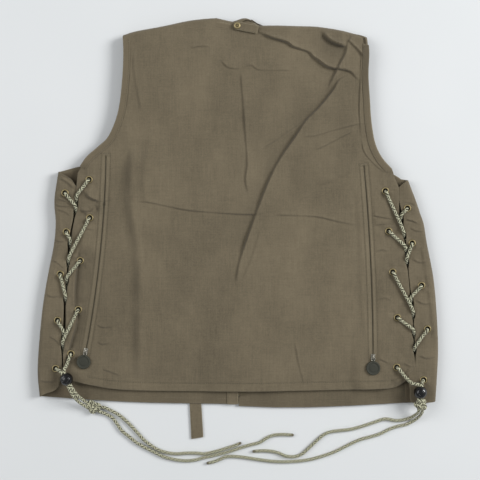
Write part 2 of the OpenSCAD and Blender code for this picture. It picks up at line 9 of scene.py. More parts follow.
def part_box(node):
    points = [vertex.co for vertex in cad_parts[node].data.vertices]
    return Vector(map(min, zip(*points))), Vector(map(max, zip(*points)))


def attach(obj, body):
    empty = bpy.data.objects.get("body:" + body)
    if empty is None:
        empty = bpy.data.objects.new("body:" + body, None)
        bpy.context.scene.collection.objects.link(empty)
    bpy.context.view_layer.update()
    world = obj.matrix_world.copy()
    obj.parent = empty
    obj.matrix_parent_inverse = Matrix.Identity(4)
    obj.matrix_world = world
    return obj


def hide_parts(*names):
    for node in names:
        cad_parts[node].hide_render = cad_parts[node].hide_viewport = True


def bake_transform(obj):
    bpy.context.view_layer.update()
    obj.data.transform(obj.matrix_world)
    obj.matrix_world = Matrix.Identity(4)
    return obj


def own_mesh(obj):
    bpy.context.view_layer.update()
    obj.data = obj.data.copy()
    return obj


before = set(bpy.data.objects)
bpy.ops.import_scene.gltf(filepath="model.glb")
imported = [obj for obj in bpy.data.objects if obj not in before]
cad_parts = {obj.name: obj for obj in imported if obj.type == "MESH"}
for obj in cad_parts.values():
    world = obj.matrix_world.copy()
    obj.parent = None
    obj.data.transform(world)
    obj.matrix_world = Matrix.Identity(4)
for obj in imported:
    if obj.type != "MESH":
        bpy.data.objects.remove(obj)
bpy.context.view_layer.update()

MM = 0.001

# ---- lines ---------------------------------------------------------------------------------


def unit(v):
    v = np.asarray(v, float)
    return v / np.linalg.norm(v)


def arc_lengths(line):
    return np.r_[0, np.cumsum(np.linalg.norm(np.diff(line, axis=0), axis=1))]


def spaced(points, step, closed=False):
    """The same line with points an even step apart."""
    p = np.asarray(points, float)
    if closed:
        p = np.vstack([p, p[:1]])
    d = arc_lengths(p)
    count = max(2, int(round(d[-1] / step)))
    s = np.linspace(0, d[-1], count + 1)
    out = np.column_stack([np.interp(s, d, p[:, k]) for k in range(p.shape[1])])
    return out[:-1] if closed else out


def circle(centre, r, count):
    a = np.linspace(0, 2 * np.pi, count, endpoint=False)
    return np.asarray(centre, float) + r * np.column_stack([np.cos(a), np.sin(a)])


def left_of(line, closed=False):
    """Unit vectors to the left of a flat line, one for each point."""
    t = np.roll(line, -1, axis=0) - np.roll(line, 1, axis=0) if closed else np.gradient(line, axis=0)
    return np.column_stack([-t[:, 1], t[:, 0]]) / np.linalg.norm(t, axis=1)[:, None]


def rims(outline, holes=()):
    """An outline and its holes as lines that end where they start."""
    return [np.vstack([loop, loop[:1]]) for loop in [outline, *holes]]


def curved(points, step):
    """A centripetal Catmull-Rom curve through the points, evenly spaced."""
    p = np.asarray(points, float)
    if len(p) < 3:
        return spaced(p, step)
    p = np.vstack([2 * p[0] - p[1], p, 2 * p[-1] - p[-2]])
    dense = []
    for a, b, c, d in zip(p, p[1:], p[2:], p[3:]):
        t1 = math.sqrt(np.linalg.norm(b - a))
        t2 = t1 + math.sqrt(np.linalg.norm(c - b))
        t3 = t2 + math.sqrt(np.linalg.norm(d - c))
        t = np.linspace(t1, t2, 12, endpoint=False)[:, None]
        ab = (t1 - t) / t1 * a + t / t1 * b
        bc = (t2 - t) / (t2 - t1) * b + (t - t1) / (t2 - t1) * c
        cd = (t3 - t) / (t3 - t2) * c + (t - t2) / (t3 - t2) * d
        abc = (t2 - t) / t2 * ab + t / t2 * bc
        bcd = (t3 - t) / (t3 - t1) * bc + (t - t1) / (t3 - t1) * cd
        dense.append((t2 - t) / (t2 - t1) * abc + (t - t1) / (t2 - t1) * bcd)
    return spaced(np.vstack(dense + [p[-2:-1]]), step)


def joined(edges, step):
    """A closed outline from edges, with straight lines across their gaps. Arrays aren't curved."""
    out = []
    for k, edge in enumerate(edges):
        line = edge if isinstance(edge, np.ndarray) else curved(edge, step)
        follow = np.asarray(edges[(k + 1) % len(edges)][0], float)
        gap = np.linalg.norm(follow - line[-1])
        out.append(line if gap > 0.5 else line[:-1])
        if gap > 1.5 * step:
            out.append(spaced([line[-1], follow], step)[1:-1])
    return np.vstack(out)


def nearest(p, line, reach=1e6):
    """Each point's distance to a line, with its left side positive, and where along it.

    Only distances below `reach` are exact; the points are taken one 24 mm square at a time."""
    line = np.asarray(line, float)
    a, ab = line[:-1], np.diff(line, axis=0)
    low, high = np.minimum(a, line[1:]) - reach, np.maximum(a, line[1:]) + reach
    length2 = np.maximum((ab**2).sum(1), 1e-12)
    start = arc_lengths(line)[:-1]
    dist, along, side = np.full(len(p), float(reach)), np.zeros(len(p)), np.zeros((len(p), 2))
    if not len(p):
        return dist, along, side
    square = np.floor(p / 24).astype(int)
    key = square[:, 0] * 4096 + square[:, 1]
    order = np.argsort(key, kind="stable")
    for rows in np.split(order, np.flatnonzero(np.diff(key[order])) + 1):
        corner = square[rows[0]] * 24
        use = np.flatnonzero(np.all((high > corner) & (low < corner + 24), axis=1))
        if not len(use):
            continue
        u, v = ab[use, 0], ab[use, 1]
        x, y = p[rows, :1] - a[use, 0], p[rows, 1:] - a[use, 1]
        t = np.clip((x * u + y * v) / length2[use], 0, 1)
        g2 = (x - t * u) ** 2 + (y - t * v) ** 2
        k = g2.argmin(1)
        i = np.arange(len(k))
        cross = u[k] * y[i, k] - v[k] * x[i, k]
        root = np.sqrt(length2[use[k]])
        dist[rows] = np.sqrt(g2[i, k]) * np.where(cross >= 0, 1, -1)
        along[rows] = start[use[k]] + t[i, k] * root
        side[rows] = np.column_stack([-v[k], u[k]]) / root[:, None]
    return dist, along, side


def gap_to(p, line, reach=1e6):
    return np.abs(nearest(p, line, reach)[0])


def gap_to_any(p, lines, reach):
    return np.min([gap_to(p, line, reach) for line in lines], axis=0)


def gap_to_points(p, places):
    return np.min([np.linalg.norm(p - q, axis=1) for q in places], axis=0)


def inside(p, loop):
    x, y = p[:, 0], p[:, 1]
    hit = np.zeros(len(p), bool)
    for (x0, y0), (x1, y1) in zip(loop, np.roll(loop, -1, axis=0)):
        if y0 != y1:
            hit ^= ((y0 > y) != (y1 > y)) & (x < (x1 - x0) * (y - y0) / (y1 - y0) + x0)
    return hit


def ramp(v, low, high):
    t = np.clip((v - low) / (high - low), 0, 1)
    return t * t * (3 - 2 * t)


def bell(v, at=0.0, width=1.0):
    return np.exp(-(((v - at) / width) ** 2))


def noise2(p, wave, seed):
    """Smooth seeded noise from -1 to 1, with features about `wave` millimetres wide."""
    grid = np.random.RandomState(seed).uniform(-1, 1, (64, 64))
    q = p / wave + 31.7
    i = np.floor(q).astype(int)
    f = q - i
    f = f * f * (3 - 2 * f)
    x, y = i[:, 0] % 64, i[:, 1] % 64
    x1, y1 = (x + 1) % 64, (y + 1) % 64
    low = grid[x, y] * (1 - f[:, 0]) + grid[x1, y] * f[:, 0]
    high = grid[x, y1] * (1 - f[:, 0]) + grid[x1, y1] * f[:, 0]
    return low * (1 - f[:, 1]) + high * f[:, 1]


# ---- layout, repeated from the CAD source --------------------------------------------------

LEFT_SHOULDER = [(-172, 290), (-157, 295), (-114, 303), (-70, 312), (-32, 316)]
BACK_NECK = [(-8, 311), (12, 316), (32, 305)]
RIGHT_SHOULDER = [(87, 304), (120, 303), (155, 297), (192, 287)]
RIGHT_ARMHOLE = [(195, 263), (194, 230), (196, 197), (199, 157), (205, 126), (215, 106), (230, 89)]
LEFT_ARMHOLE = [(-170, 256), (-172, 219), (-177, 179), (-185, 153), (-195, 135), (-208, 123), (-224, 109)]
LEFT_SLIT = [(-240, 84), (-242, 60), (-241, 39), (-244, 21), (-251, -18), (-253, -46), (-255, -78),
             (-258, -106), (-259, -144), (-261, -166), (-262, -184), (-261, -214)]
RIGHT_SLIT = [(242, 82), (241, 58), (242, 31), (246, 8), (250, -20), (253, -50), (258, -99),
              (262, -124), (262, -147), (264, -178), (265, -214)]
LEFT_FOLD = [(-269, 86), (-275, 42), (-273, 8), (-276, -25), (-283, -60), (-291, -106),
             (-296, -150), (-300, -214), (-297, -251)]
RIGHT_FOLD = [(255, 73.5), (267, 42), (273, 24), (278, 10), (283, -20), (293, -73), (298, -128), (300, -183),
              (298, -227), (296, -258)]
BACK_HEM = [(-250, -226), (-224, -232), (-195, -238), (-158, -241), (-12, -243), (142, -241),
            (208, -239), (232, -237.5), (243, -233), (250.5, -226.5), (254.5, -219), (260.5, -210)]
FRONT_HEM_LEFT = [(-246, -255), (-158, -260), (-74, -262), (-5, -263)]
FRONT_HEM_RIGHT = [(1.2, -266), (61, -268), (133, -267), (252, -261), (279, -260)]
LEFT_FRONT_ARMHOLE = [(-160, 240), (-150, 190), (-160, 140), (-190, 110), (-235, 95)]
RIGHT_FRONT_ARMHOLE = [(178, 240), (168, 190), (178, 140), (203, 105), (226, 87), (244, 75.5)]
LEFT_BACK_EYES = [(-222, 74), (-221, 17), (-235, -47), (-238, -120), (-249, -186)]
LEFT_FRONT_EYES = [(-258, 54), (-256, -4), (-265, -67), (-269, -136), (-272, -208)]
RIGHT_BACK_EYES = [(220, 57), (225, -3), (231, -64), (238, -132), (237, -206)]
RIGHT_FRONT_EYES = [(253, 31), (260, -21), (274, -84), (283, -149), (277, -225)]


def shifted(line, dx, dy=0):
    return [(x + dx, y + dy) for x, y in line]


LEFT_A_DIVES = [((-240, 50), (-243, 38)), ((-250, -15), (-251, -27)),
                ((-255, -72), (-257, -83)), ((-260, -152), (-261, -163))]
LEFT_B_DIVES = [((-242.5, 35), (-241, 24)), ((-252, -43), (-254, -54)),
                ((-257, -99), (-257, -109)), ((-261, -168), (-262, -179))]
RIGHT_A_DIVES = [((247, -4), (249, -14)), ((252, -43), (252, -54)),
                 ((261, -122), (262, -133)), ((265, -174), (262, -185))]
RIGHT_B_DIVES = [((244, 22), (243, 11)), ((250, -27), (251, -38)),
                 ((258, -102), (259, -113)), ((261.5, -150), (265, -161))]


def slit_edge(line, dives, rest, way):
    """One edge of a slit that opens round each place where a cord goes through."""
    line = curved(line, 3)
    half = np.array([rest(y) for y in line[:, 1]])
    for (_, y0), (_, y1) in dives:
        half = np.maximum(half, half + (2.9 - half) * bell(line[:, 1], (y0 + y1) / 2, 7.5))
    return np.column_stack([line[:, 0] + way * half, line[:, 1]])


def left_rest(y):
    return 0.9 + bell(y, -145, 32) + 0.4 * bell(y, -20, 40)


def right_rest(y):
    return 0.5 + bell(y, -105, 12) + 1.2 * bell(y, 27, 8)


LEFT_BACK_EDGE, LEFT_STRIP_EDGE = (
    slit_edge(LEFT_SLIT, LEFT_A_DIVES + LEFT_B_DIVES, left_rest, way) for way in (1, -1))
RIGHT_BACK_EDGE, RIGHT_STRIP_EDGE = (
    slit_edge(RIGHT_SLIT, RIGHT_A_DIVES + RIGHT_B_DIVES, right_rest, way) for way in (-1, 1))

# heights above the ground, and thicknesses
FRONT_Z = 3.4
LINING_Z = 12.2
BACK_Z = 14.4
BACK_TOP = 15.8
FLANGE_TOP = 16.5
CORD_D = 4.8
OVER_Z = BACK_TOP + CORD_D / 2 + 0.1
BEND_R = 4.0
UNDER_Z = LINING_Z - 0.5 - BEND_R
LOCK_Z = 25.7
CLOTH_T = 1.3
LIP_T = 0.55
FOLD_R = (BACK_TOP - FRONT_Z) / 2
# sizes in the cloth: half a zip's opening, an eyelet's hole, and points along an outline
LIP = 0.75
BORE_R = 4.3
EDGE_STEP = 2.4
# how much painted shade darkens a crease
CREASE_SHADE = 0.42

# ---- camera and light ----------------------------------------------------------------------

CAMERA_PLACE = (0.0032, -0.0162, 1.508)
scene = bpy.context.scene
camera_data = bpy.data.cameras.new("camera")
camera_data.lens = 75
camera_data.sensor_width = 36
camera_data.clip_start = 0.01
camera = bpy.data.objects.new("camera", camera_data)
camera.location = CAMERA_PLACE
scene.collection.objects.link(camera)
scene.camera = camera
scene.view_settings.view_transform = "Standard"


def area_light(name, place, size, power):
    """A round light that points at the vest's middle."""
    data = bpy.data.lights.new(name, "AREA")
    data.shape = "DISK"
    data.size = size
    data.energy = power
    light = bpy.data.objects.new(name, data)
    light.location = place
    light.rotation_euler = (-Vector(place)).to_track_quat("-Z", "Y").to_euler()
    scene.collection.objects.link(light)


area_light("window", (2.75, 0.9, 2.15), 1.7, 109)
area_light("fill", (-2.0, 0.5, 2.1), 2.2, 36)
world = bpy.data.worlds.new("world")
scene.world = world
world.use_nodes = True
sky = world.node_tree.nodes["Background"]
sky.inputs["Color"].default_value = (0.96, 0.98, 1.0, 1)
sky.inputs["Strength"].default_value = 0.33

# ---- materials -----------------------------------------------------------------------------


class Shader:
    """A Principled material and short ways to add nodes to it."""

    def __init__(self, name):
        self.material = bpy.data.materials.new(name)
        self.material.use_nodes = True
        self.tree = self.material.node_tree
        self.bsdf = self.tree.nodes["Principled BSDF"]
        place = self.tree.nodes.new("ShaderNodeTexCoord").outputs["Object"]
        self.mm = self.vector("SCALE", place, 1 / MM)

    def put(self, socket, value):
        if isinstance(value, bpy.types.NodeSocket):
            self.tree.links.new(value, socket)
        elif isinstance(value, tuple) and len(value) == 3 and socket.type == "RGBA":
            socket.default_value = (*value, 1)
        else:
            socket.default_value = value

    def set(self, **values):
        for key, value in values.items():
            self.put(self.bsdf.inputs[key.replace("_", " ")], value)
        return self

    def vector(self, operation, a, b):
        n = self.tree.nodes.new("ShaderNodeVectorMath")
        n.operation = operation
        self.put(n.inputs[0], a)
        self.put(n.inputs["Scale" if operation == "SCALE" else 1], b)
        return n.outputs[0]

    def math(self, operation, a, b=0.0, c=0.5, clamp=False):
        n = self.tree.nodes.new("ShaderNodeMath")
        n.operation = operation
        n.use_clamp = clamp
        for socket, value in zip(n.inputs, (a, b, c)):
            self.put(socket, value)
        return n.outputs[0]

    def noise(self, stretch, detail=3.0, rough=0.5):
        """Noise whose features are about stretch = (x, y, z) millimetres wide."""
        n = self.tree.nodes.new("ShaderNodeTexNoise")
        self.put(n.inputs["Vector"], self.vector("MULTIPLY", self.mm, tuple(1 / s for s in stretch)))
        n.inputs["Scale"].default_value = 1
        n.inputs["Detail"].default_value = detail
        n.inputs["Roughness"].default_value = rough
        return n.outputs[0]

    def mix(self, share, a, b):
        n = self.tree.nodes.new("ShaderNodeMix")
        n.data_type = "RGBA"
        self.put(n.inputs[0], share)
        self.put(n.inputs[6], a)
        self.put(n.inputs[7], b)
        return n.outputs[2]

    def axes(self, socket):
        n = self.tree.nodes.new("ShaderNodeSeparateXYZ")
        self.put(n.inputs[0], socket)
        return n.outputs

    def attribute(self, name):
        n = self.tree.nodes.new("ShaderNodeAttribute")
        n.attribute_name = name
        return n.outputs["Fac"]

    def bump(self, height, distance, strength=1.0):
        n = self.tree.nodes.new("ShaderNodeBump")
        n.inputs["Strength"].default_value = strength
        n.inputs["Distance"].default_value = distance * MM
        self.put(n.inputs["Height"], height)
        self.put(self.bsdf.inputs["Normal"], n.outputs[0])


def linear(r, g, b):
    """A colour given as 8-bit screen values."""
    return tuple(c / 12.92 / 255 if c < 10.3 else ((c / 255 + 0.055) / 1.055) ** 2.4 for c in (r, g, b))


def woven(name, light, dark, worn, pitch, streak=0.5, sheen=0.2, depth=0.14):
    """Woven cloth: threads, slubs both ways, uneven dye, paler worn edges that are partly a painted
    highlight, and painted shade in creases and grooves.
    """
    s = Shader(name)
    x, y, _ = s.axes(s.mm)
    warp = s.math("SINE", s.math("MULTIPLY", x, math.pi / pitch))
    weft = s.math("SINE", s.math("MULTIPLY", y, math.pi / pitch))
    over = s.math("MULTIPLY", warp, weft)
    threads = s.math("ADD", s.math("ABSOLUTE", warp), s.math("ABSOLUTE", weft))
    height = s.math("ADD", s.math("MULTIPLY", over, 0.5), s.math("MULTIPLY", threads, 0.5))
    down = s.noise((1.3, 34.0, 9.0), 4.0, 0.6)
    across = s.noise((30.0, 1.4, 9.0), 4.0, 0.6)
    slub = s.math("ADD", s.math("MULTIPLY", down, 0.6), s.math("MULTIPLY", across, 0.4))
    dye = s.noise((60.0, 80.0, 60.0), 4.0, 0.55)
    grain = s.noise((2.2, 2.2, 2.2), 2.0, 0.7)
    tone = s.math("ADD", s.math("MULTIPLY", slub, streak), s.math("MULTIPLY", dye, 1 - streak))
    tone = s.math("ADD", tone, s.math("MULTIPLY", s.math("SUBTRACT", grain, 0.5), 0.35))
    tone = s.math("MULTIPLY_ADD", s.math("SUBTRACT", tone, 0.5), 2.2, 0.5)
    tone = s.math("ADD", tone, s.math("MULTIPLY", over, 0.06), clamp=True)
    colour = s.mix(tone, dark, light)
    # paler worn edges, partly a painted highlight on the rolled edges
    rubbed = s.math("MULTIPLY", s.attribute("wear"), s.math("ADD", grain, 0.1), clamp=True)
    colour = s.mix(rubbed, colour, worn)
    # painted shade: darker in creases, grooves, edges and gaps, as the deep attribute says
    colour = s.mix(s.attribute("deep"), colour, tuple(0.45 * c for c in dark))
    s.set(Base_Color=colour, Sheen_Weight=sheen, Sheen_Roughness=0.5, Specular_IOR_Level=0.25,
          Roughness=s.math("MULTIPLY_ADD", grain, 0.16, 0.8))
    s.bump(s.math("ADD", height, s.math("MULTIPLY", slub, 1.6)), depth, 0.8)
    return s.material


KHAKI = linear(122, 111, 90)
KHAKI_DARK = linear(87, 79, 63)
KHAKI_WORN_AND_HIGHLIGHT = linear(146, 136, 112)
cloth = woven("cloth", KHAKI, KHAKI_DARK, KHAKI_WORN_AND_HIGHLIGHT, 0.7)
binding_cloth = woven("binding_cloth", linear(115, 104, 84), linear(98, 89, 71), KHAKI_WORN_AND_HIGHLIGHT, 0.55)
lining_cloth = woven("lining_cloth", linear(100, 89, 70), linear(82, 73, 57), linear(110, 100, 80),
                     0.5, 0.6, 0.3)
tape_cloth = woven("tape_cloth", linear(104, 95, 75), linear(86, 79, 62), linear(120, 111, 90),
                   1.1, 0.7, 0.1, 0.2)
thread = woven("thread", linear(120, 110, 86), linear(92, 84, 64), KHAKI_WORN_AND_HIGHLIGHT, 0.25, 0.3, 0.3, 0.05)


def moulded(name, light, dark, rough, grain=1.2, depth=0.02, coat=0.0, metallic=0.0, worn=None):
    """Moulded or plated hardware: uneven gloss, fine scuffs, and paler rubbed edges, which on the eyelets'
    crests are partly a painted highlight.
    """
    s = Shader(name)
    cloud = s.noise((grain * 6,) * 3, 4.0, 0.6)
    fine = s.noise((grain * 0.35,) * 3, 3.0, 0.6)
    scuff = s.noise((grain * 0.2, grain * 4, grain * 2), 3.0, 0.7)
    colour = s.mix(cloud, dark, light)
    # paler rubbed edges; on the eyelets' crests this is partly a painted highlight
    rubbed = s.math("MULTIPLY", s.attribute("wear"), s.math("ADD", fine, 0.35), clamp=True)
    colour = s.mix(rubbed, colour, worn or tuple(min(1, 1.6 * c + 0.02) for c in light))
    gloss = s.math("MULTIPLY_ADD", scuff, 0.22, rough - 0.11)
    s.set(Base_Color=colour, Roughness=gloss, Metallic=metallic, Coat_Weight=coat, Coat_Roughness=0.08)
    s.bump(s.math("ADD", fine, scuff), depth, 0.6)
    return s.material


brass = moulded("antique_brass", linear(72, 63, 42), linear(34, 30, 21), 0.45, metallic=0.7,
                worn=linear(176, 160, 118))
silver = moulded("silver", linear(186, 183, 172), linear(116, 112, 100), 0.3, metallic=0.85)
rubber = moulded("rubber", linear(56, 57, 47), linear(40, 41, 33), 0.8, depth=0.08, worn=linear(92, 92, 78))
lock_plastic = moulded("lock_plastic", linear(11, 11, 12), linear(5, 5, 6), 0.24, coat=0.25,
                       worn=linear(60, 60, 62))
coil_plastic = moulded("coil_plastic", linear(94, 87, 68), linear(70, 64, 50), 0.5)
steel = moulded("steel", linear(190, 190, 188), linear(130, 130, 128), 0.3, metallic=1.0)


def braided_cord():
    """Two-tone braid. The "braid" map counts strands round the cord and cells along it."""
    s = Shader("braid")
    uv = s.tree.nodes.new("ShaderNodeUVMap")
    uv.uv_map = "braid"
    u, v, _ = s.axes(uv.outputs[0])
    a = s.math("ADD", u, v)
    b = s.math("SUBTRACT", u, v)
    cell_a, cell_b = s.math("FLOOR", a), s.math("FLOOR", b)
    over = s.math("FLOORED_MODULO", s.math("ADD", cell_a, cell_b), 2.0)
    one = s.math("LESS_THAN", s.math("FLOORED_MODULO", cell_b, 2.0), 0.5)
    other = s.math("LESS_THAN", s.math("FLOORED_MODULO", s.math("ADD", cell_a, 1.0), 3.0), 0.5)
    fleck = s.mix(over, other, one)
    fa, fb = s.math("FRACT", a), s.math("FRACT", b)
    ridge = s.math("MULTIPLY", s.math("SINE", s.math("MULTIPLY", fa, math.pi)),
                   s.math("SINE", s.math("MULTIPLY", fb, math.pi)))
    hair = s.noise((0.25, 0.25, 0.25), 2.0, 0.6)
    tone = s.noise((9.0, 9.0, 9.0), 3.0, 0.6)
    cream = s.mix(tone, linear(188, 187, 156), linear(216, 215, 187))
    olive = s.mix(hair, linear(30, 28, 17), linear(58, 54, 38))
    colour = s.mix(fleck, cream, olive)
    # painted shade in the gaps between the strands
    gap = s.math("SUBTRACT", 1.0, s.math("MULTIPLY", ridge, 2.4), clamp=True)
    colour = s.mix(s.math("MULTIPLY", gap, 0.75), colour, linear(84, 81, 60))
    colour = s.mix(s.attribute("seal"), colour, linear(92, 84, 62))
    s.set(Base_Color=colour, Roughness=0.72, Sheen_Weight=0.25, Specular_IOR_Level=0.3)
    s.bump(s.math("ADD", ridge, s.math("MULTIPLY", hair, 0.4)), 0.18, 0.8)
    return s.material


braid_material = braided_cord()

# ---- meshes --------------------------------------------------------------------------------


def piece(name, v, f, material, slot=None, body="root", replaces=(), angle=42, **attributes):
    """An object from millimetre points and faces, which rides on a body.

    The attributes are one value a point, as the materials read them; one left out reads as 0."""
    mesh = bpy.data.meshes.new(name)
    mesh.from_pydata((np.asarray(v, float) * MM).tolist(), [], [list(map(int, q)) for q in f])
    mesh.shade_smooth()
    mesh.set_sharp_from_angle(angle=math.radians(angle))
    for key, values in attributes.items():
        layer = mesh.attributes.new(key, "FLOAT", "POINT")
        layer.data.foreach_set("value", np.asarray(values, np.float32))
    mesh.materials.append(material)
    mesh.validate()
    obj = bpy.data.objects.new(name, mesh)
    scene.collection.objects.link(obj)
    if body:
        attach(obj, body)
    if replaces:
        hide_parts(*replaces)
    return obj


def merged(parts):
    """One list of points and faces from several."""
    v, f, n = [], [], 0
    for points, faces in parts:
        v.append(np.asarray(points, float))
        f += [[i + n for i in q] for q in faces]
        n += len(points)
    return np.vstack(v), f


def carried(line):
    """Tangents and two normals along a 3-D line, carried without twist."""
    t = np.gradient(line, axis=0)
    t /= np.linalg.norm(t, axis=1)[:, None]
    n = np.empty_like(line)
    v = np.array([0.3, 0.2, 1.0])
    for i in range(len(line)):
        v = v - t[i] * (v @ t[i])
        v /= np.linalg.norm(v)
        n[i] = v
    return t, n, np.cross(t, n)


def skin(rows, m, closed=False):
    """Faces over rows of m points that each close round; the end rows are filled, or joined."""
    f = [[i * m + k, i * m + (k + 1) % m, (i + 1) % rows * m + (k + 1) % m, (i + 1) % rows * m + k]
         for i in range(rows if closed else rows - 1) for k in range(m)]
    return f if closed else f + [list(range(m))[::-1], [(rows - 1) * m + k for k in range(m)]]


def tube(line, radius, sides=8, closed=False):
    line = np.asarray(line, float)
    _, n, b = carried(line)
    x, y = circle((0, 0), 1, sides).T
    ring = line[:, None] + radius * (x[:, None] * n[:, None] + y[:, None] * b[:, None])
    return ring.reshape(-1, 3), skin(len(line), sides, closed)


def hoop(centre, r, wire, sides=10):
    """A level wire ring."""
    ring = circle(centre[:2], r, 40)
    return tube(np.column_stack([ring, np.full(len(ring), centre[2])]), wire, sides, closed=True)


def lathe(profile, centre, sides=40, closed=True):
    """A shape turned about an upright axis; the profile is [(radius, z)]."""
    v, rows = [], []
    for r, z in profile:
        count = 1 if r < 1e-6 else sides
        rows.append([len(v) + k % count for k in range(sides)])
        v += [(x, y, centre[2] + z) for x, y in circle(centre[:2], r, count)]
    f = []
    pairs = list(zip(rows, rows[1:])) + ([(rows[-1], rows[0])] if closed else [])
    for low, high in pairs:
        for k in range(sides):
            q = [low[k], low[(k + 1) % sides], high[(k + 1) % sides], high[k]]
            q = [p for i, p in enumerate(q) if p != q[i - 1]]
            if len(q) > 2:
                f.append(q)
    return np.array(v), f


def extruded(outline, z0, z1, bevel):
    """A plate with bevelled rims, from an anticlockwise outline."""
    p = np.asarray(outline, float)
    inward = left_of(p, closed=True)
    levels = [(z0, bevel), (z0 + 0.3 * bevel, 0.3 * bevel), (z0 + bevel, 0), (z1 - bevel, 0),
              (z1 - 0.3 * bevel, 0.3 * bevel), (z1, bevel)]
    rows = [np.column_stack([p + inward * inset, np.full(len(p), z)]) for z, inset in levels]
    return np.vstack(rows), skin(len(rows), len(p))


def turned(v, direction, place):
    """Local points, with +Y turned to `direction`, moved to a place."""
    x, y = unit(direction)
    a, b, z = np.asarray(v, float).T
    return np.column_stack([a * y + b * x, b * y - a * x, z]) + np.asarray(place)


def fill(loop, holes, inner):
    """Triangles over an outline with holes, through all the inner points."""
    points, edges = [], []
    for line in [loop, *holes]:
        n = len(points)
        points += [Vector(q) for q in line]
        edges += [(n + i, n + (i + 1) % len(line)) for i in range(len(line))]
    points += [Vector(q) for q in inner]
    v, _, f, *_ = delaunay_2d_cdt(points, edges, [], 0, 1e-5)
    v = np.array([tuple(q) for q in v])
    f = np.array([q for q in f if len(q) == 3])
    c = v[f].mean(1)
    keep = inside(c, loop)
    for hole in holes:
        keep &= ~inside(c, hole)
    f = f[keep]
    p, q, r = (v[f[:, k]] for k in range(3))
    area = (q - p)[:, 0] * (r - p)[:, 1] - (q - p)[:, 1] * (r - p)[:, 0]
    f[area < 0] = f[area < 0][:, ::-1]
    used, f = np.unique(f[np.abs(area) > 1e-4], return_inverse=True)
    return v[used], f.reshape(-1, 3)


EDGE_ROWS = (0.45, 1.1, 2.2)


def inner_points(loop, holes, step, lines=(), rows=EDGE_ROWS):
    """Rows of points beside the edges and beside crease lines, and a staggered grid between."""
    found = []
    for line in [loop, *holes]:
        n = left_of(line, closed=True)
        found += [line + n * way * d for d in rows for way in (1, -1)]
    for line, offsets in lines:
        line = curved(line, 2.0)
        n = left_of(line)
        found += [line + n * d for d in offsets]
    low, high = loop.min(0), loop.max(0)
    grid = [(x + (j % 2) * step / 2, y) for j, y in enumerate(np.arange(low[1], high[1], step * 0.87))
            for x in np.arange(low[0], high[0], step)]
    both = np.vstack([*found, grid])
    both = both[inside(both, loop)]
    both = both[gap_to_any(both, rims(loop, holes), 2) > 0.42]
    for hole in holes:
        both = both[~inside(both, hole)]
    # keep the first point in each small cell, so that rows come before the grid
    cell, out = set(), []
    for p in both:
        key = (int(p[0] // 0.8), int(p[1] // 0.8))
        if key not in cell:
            cell.add(key)
            out.append(p)
    return np.array(out)


def thicken(v, f, t):
    """A closed skin from an outer surface, with the inner one t inside it."""
    v, f = np.asarray(v, float), np.asarray(f, int)
    face_n = np.cross(v[f[:, 1]] - v[f[:, 0]], v[f[:, 2]] - v[f[:, 0]])
    n = np.zeros_like(v)
    for k in range(3):
        np.add.at(n, f[:, k], face_n)
    n /= np.maximum(np.linalg.norm(n, axis=1), 1e-9)[:, None]
    inner = v - n * np.broadcast_to(np.asarray(t, float), (len(v),))[:, None]
    directed = np.vstack([f[:, [0, 1]], f[:, [1, 2]], f[:, [2, 0]]])
    seen = {(a, b) for a, b in directed.tolist()}
    open_edges = [(a, b) for a, b in directed.tolist() if (b, a) not in seen]
    count = len(v)
    faces = f.tolist() + (f[:, ::-1] + count).tolist()
    faces += [[b, a, a + count, b + count] for a, b in open_edges]
    return np.vstack([v, inner]), faces


def welded(parts):
    """Surfaces joined where their points meet, and which of all the parts' points were kept."""
    v, f = merged(parts)
    _, kept, index = np.unique(np.round(v * 20).astype(int), axis=0, return_index=True, return_inverse=True)
    order = np.argsort(kept)
    index = np.argsort(order)[index.ravel()]
    out = index[np.array(f)]
    whole = (out[:, 0] != out[:, 1]) & (out[:, 1] != out[:, 2]) & (out[:, 2] != out[:, 0])
    return v[kept[order]], out[whole], kept[order]


# ---- cords ---------------------------------------------------------------------------------


def flat(p, z):
    return np.array([p[0], p[1], z])


def climb(start, eye, to):
    """The bend from under the cloth up through an eyelet and over its rim."""
    c, u, o = np.array(eye, float), unit(np.subtract(start, eye)), unit(np.subtract(to, eye))
    side = c + o * 0.95
    return [flat(c + u * BEND_R, UNDER_Z), flat(c + u * 0.3 * BEND_R, UNDER_Z + 0.3 * BEND_R),
            flat(side, UNDER_Z + BEND_R), flat(side, FLANGE_TOP),
            flat(c + o * 0.3 * BEND_R, FLANGE_TOP + 0.7 * BEND_R), flat(c + o * BEND_R, FLANGE_TOP + BEND_R)]


def landing(eye, to):
    """Where a cord comes to lie on the cloth after its eyelet."""
    return flat(np.array(eye, float) + unit(np.subtract(to, eye)) * 2.5 * BEND_R, OVER_Z)


def dive(p, q):
    """Down through the slit, from p on top of the cloth to q under it."""
    p, q = np.array(p, float), np.array(q, float)
    return [flat(p, OVER_Z), flat((p + q) / 2, (OVER_Z + UNDER_Z) / 2), flat(q, UNDER_Z)]


def alternate(first, second):
    """Five eyelets, taken by turns from two columns."""
    return [(first, second)[k % 2][k] for k in range(5)]


def run(eyes, dives, start, finish):
    """A cord's way up through each eyelet, over the cloth and down through the slit."""
    out = []
    for i, eye in enumerate(eyes):
        below = start if i == 0 else dives[i - 1][1]
        out += climb(below, eye, dives[i][0] if i < 4 else finish)
        if i < 4:
            out += [landing(eye, dives[i][0]), *dive(*dives[i])]
    return out


LEFT_LOCK, LEFT_LOCK_DIR = np.array([-254, -222.5]), np.array([0.454, -0.891])
RIGHT_LOCK, RIGHT_LOCK_DIR = np.array([270.5, -242]), np.array([0.0, -1.0])
PAIR_GAP = CORD_D + 0.1


def through(lock, along, h, start, end):
    """A straight stretch through a cord lock, h to the left of its middle."""
    side = np.array([-along[1], along[0]])
    return [flat(lock + along * s + side * h, LOCK_Z) for s in (start, end)]


def points3(*p):
    return [np.array(q, float) for q in p]


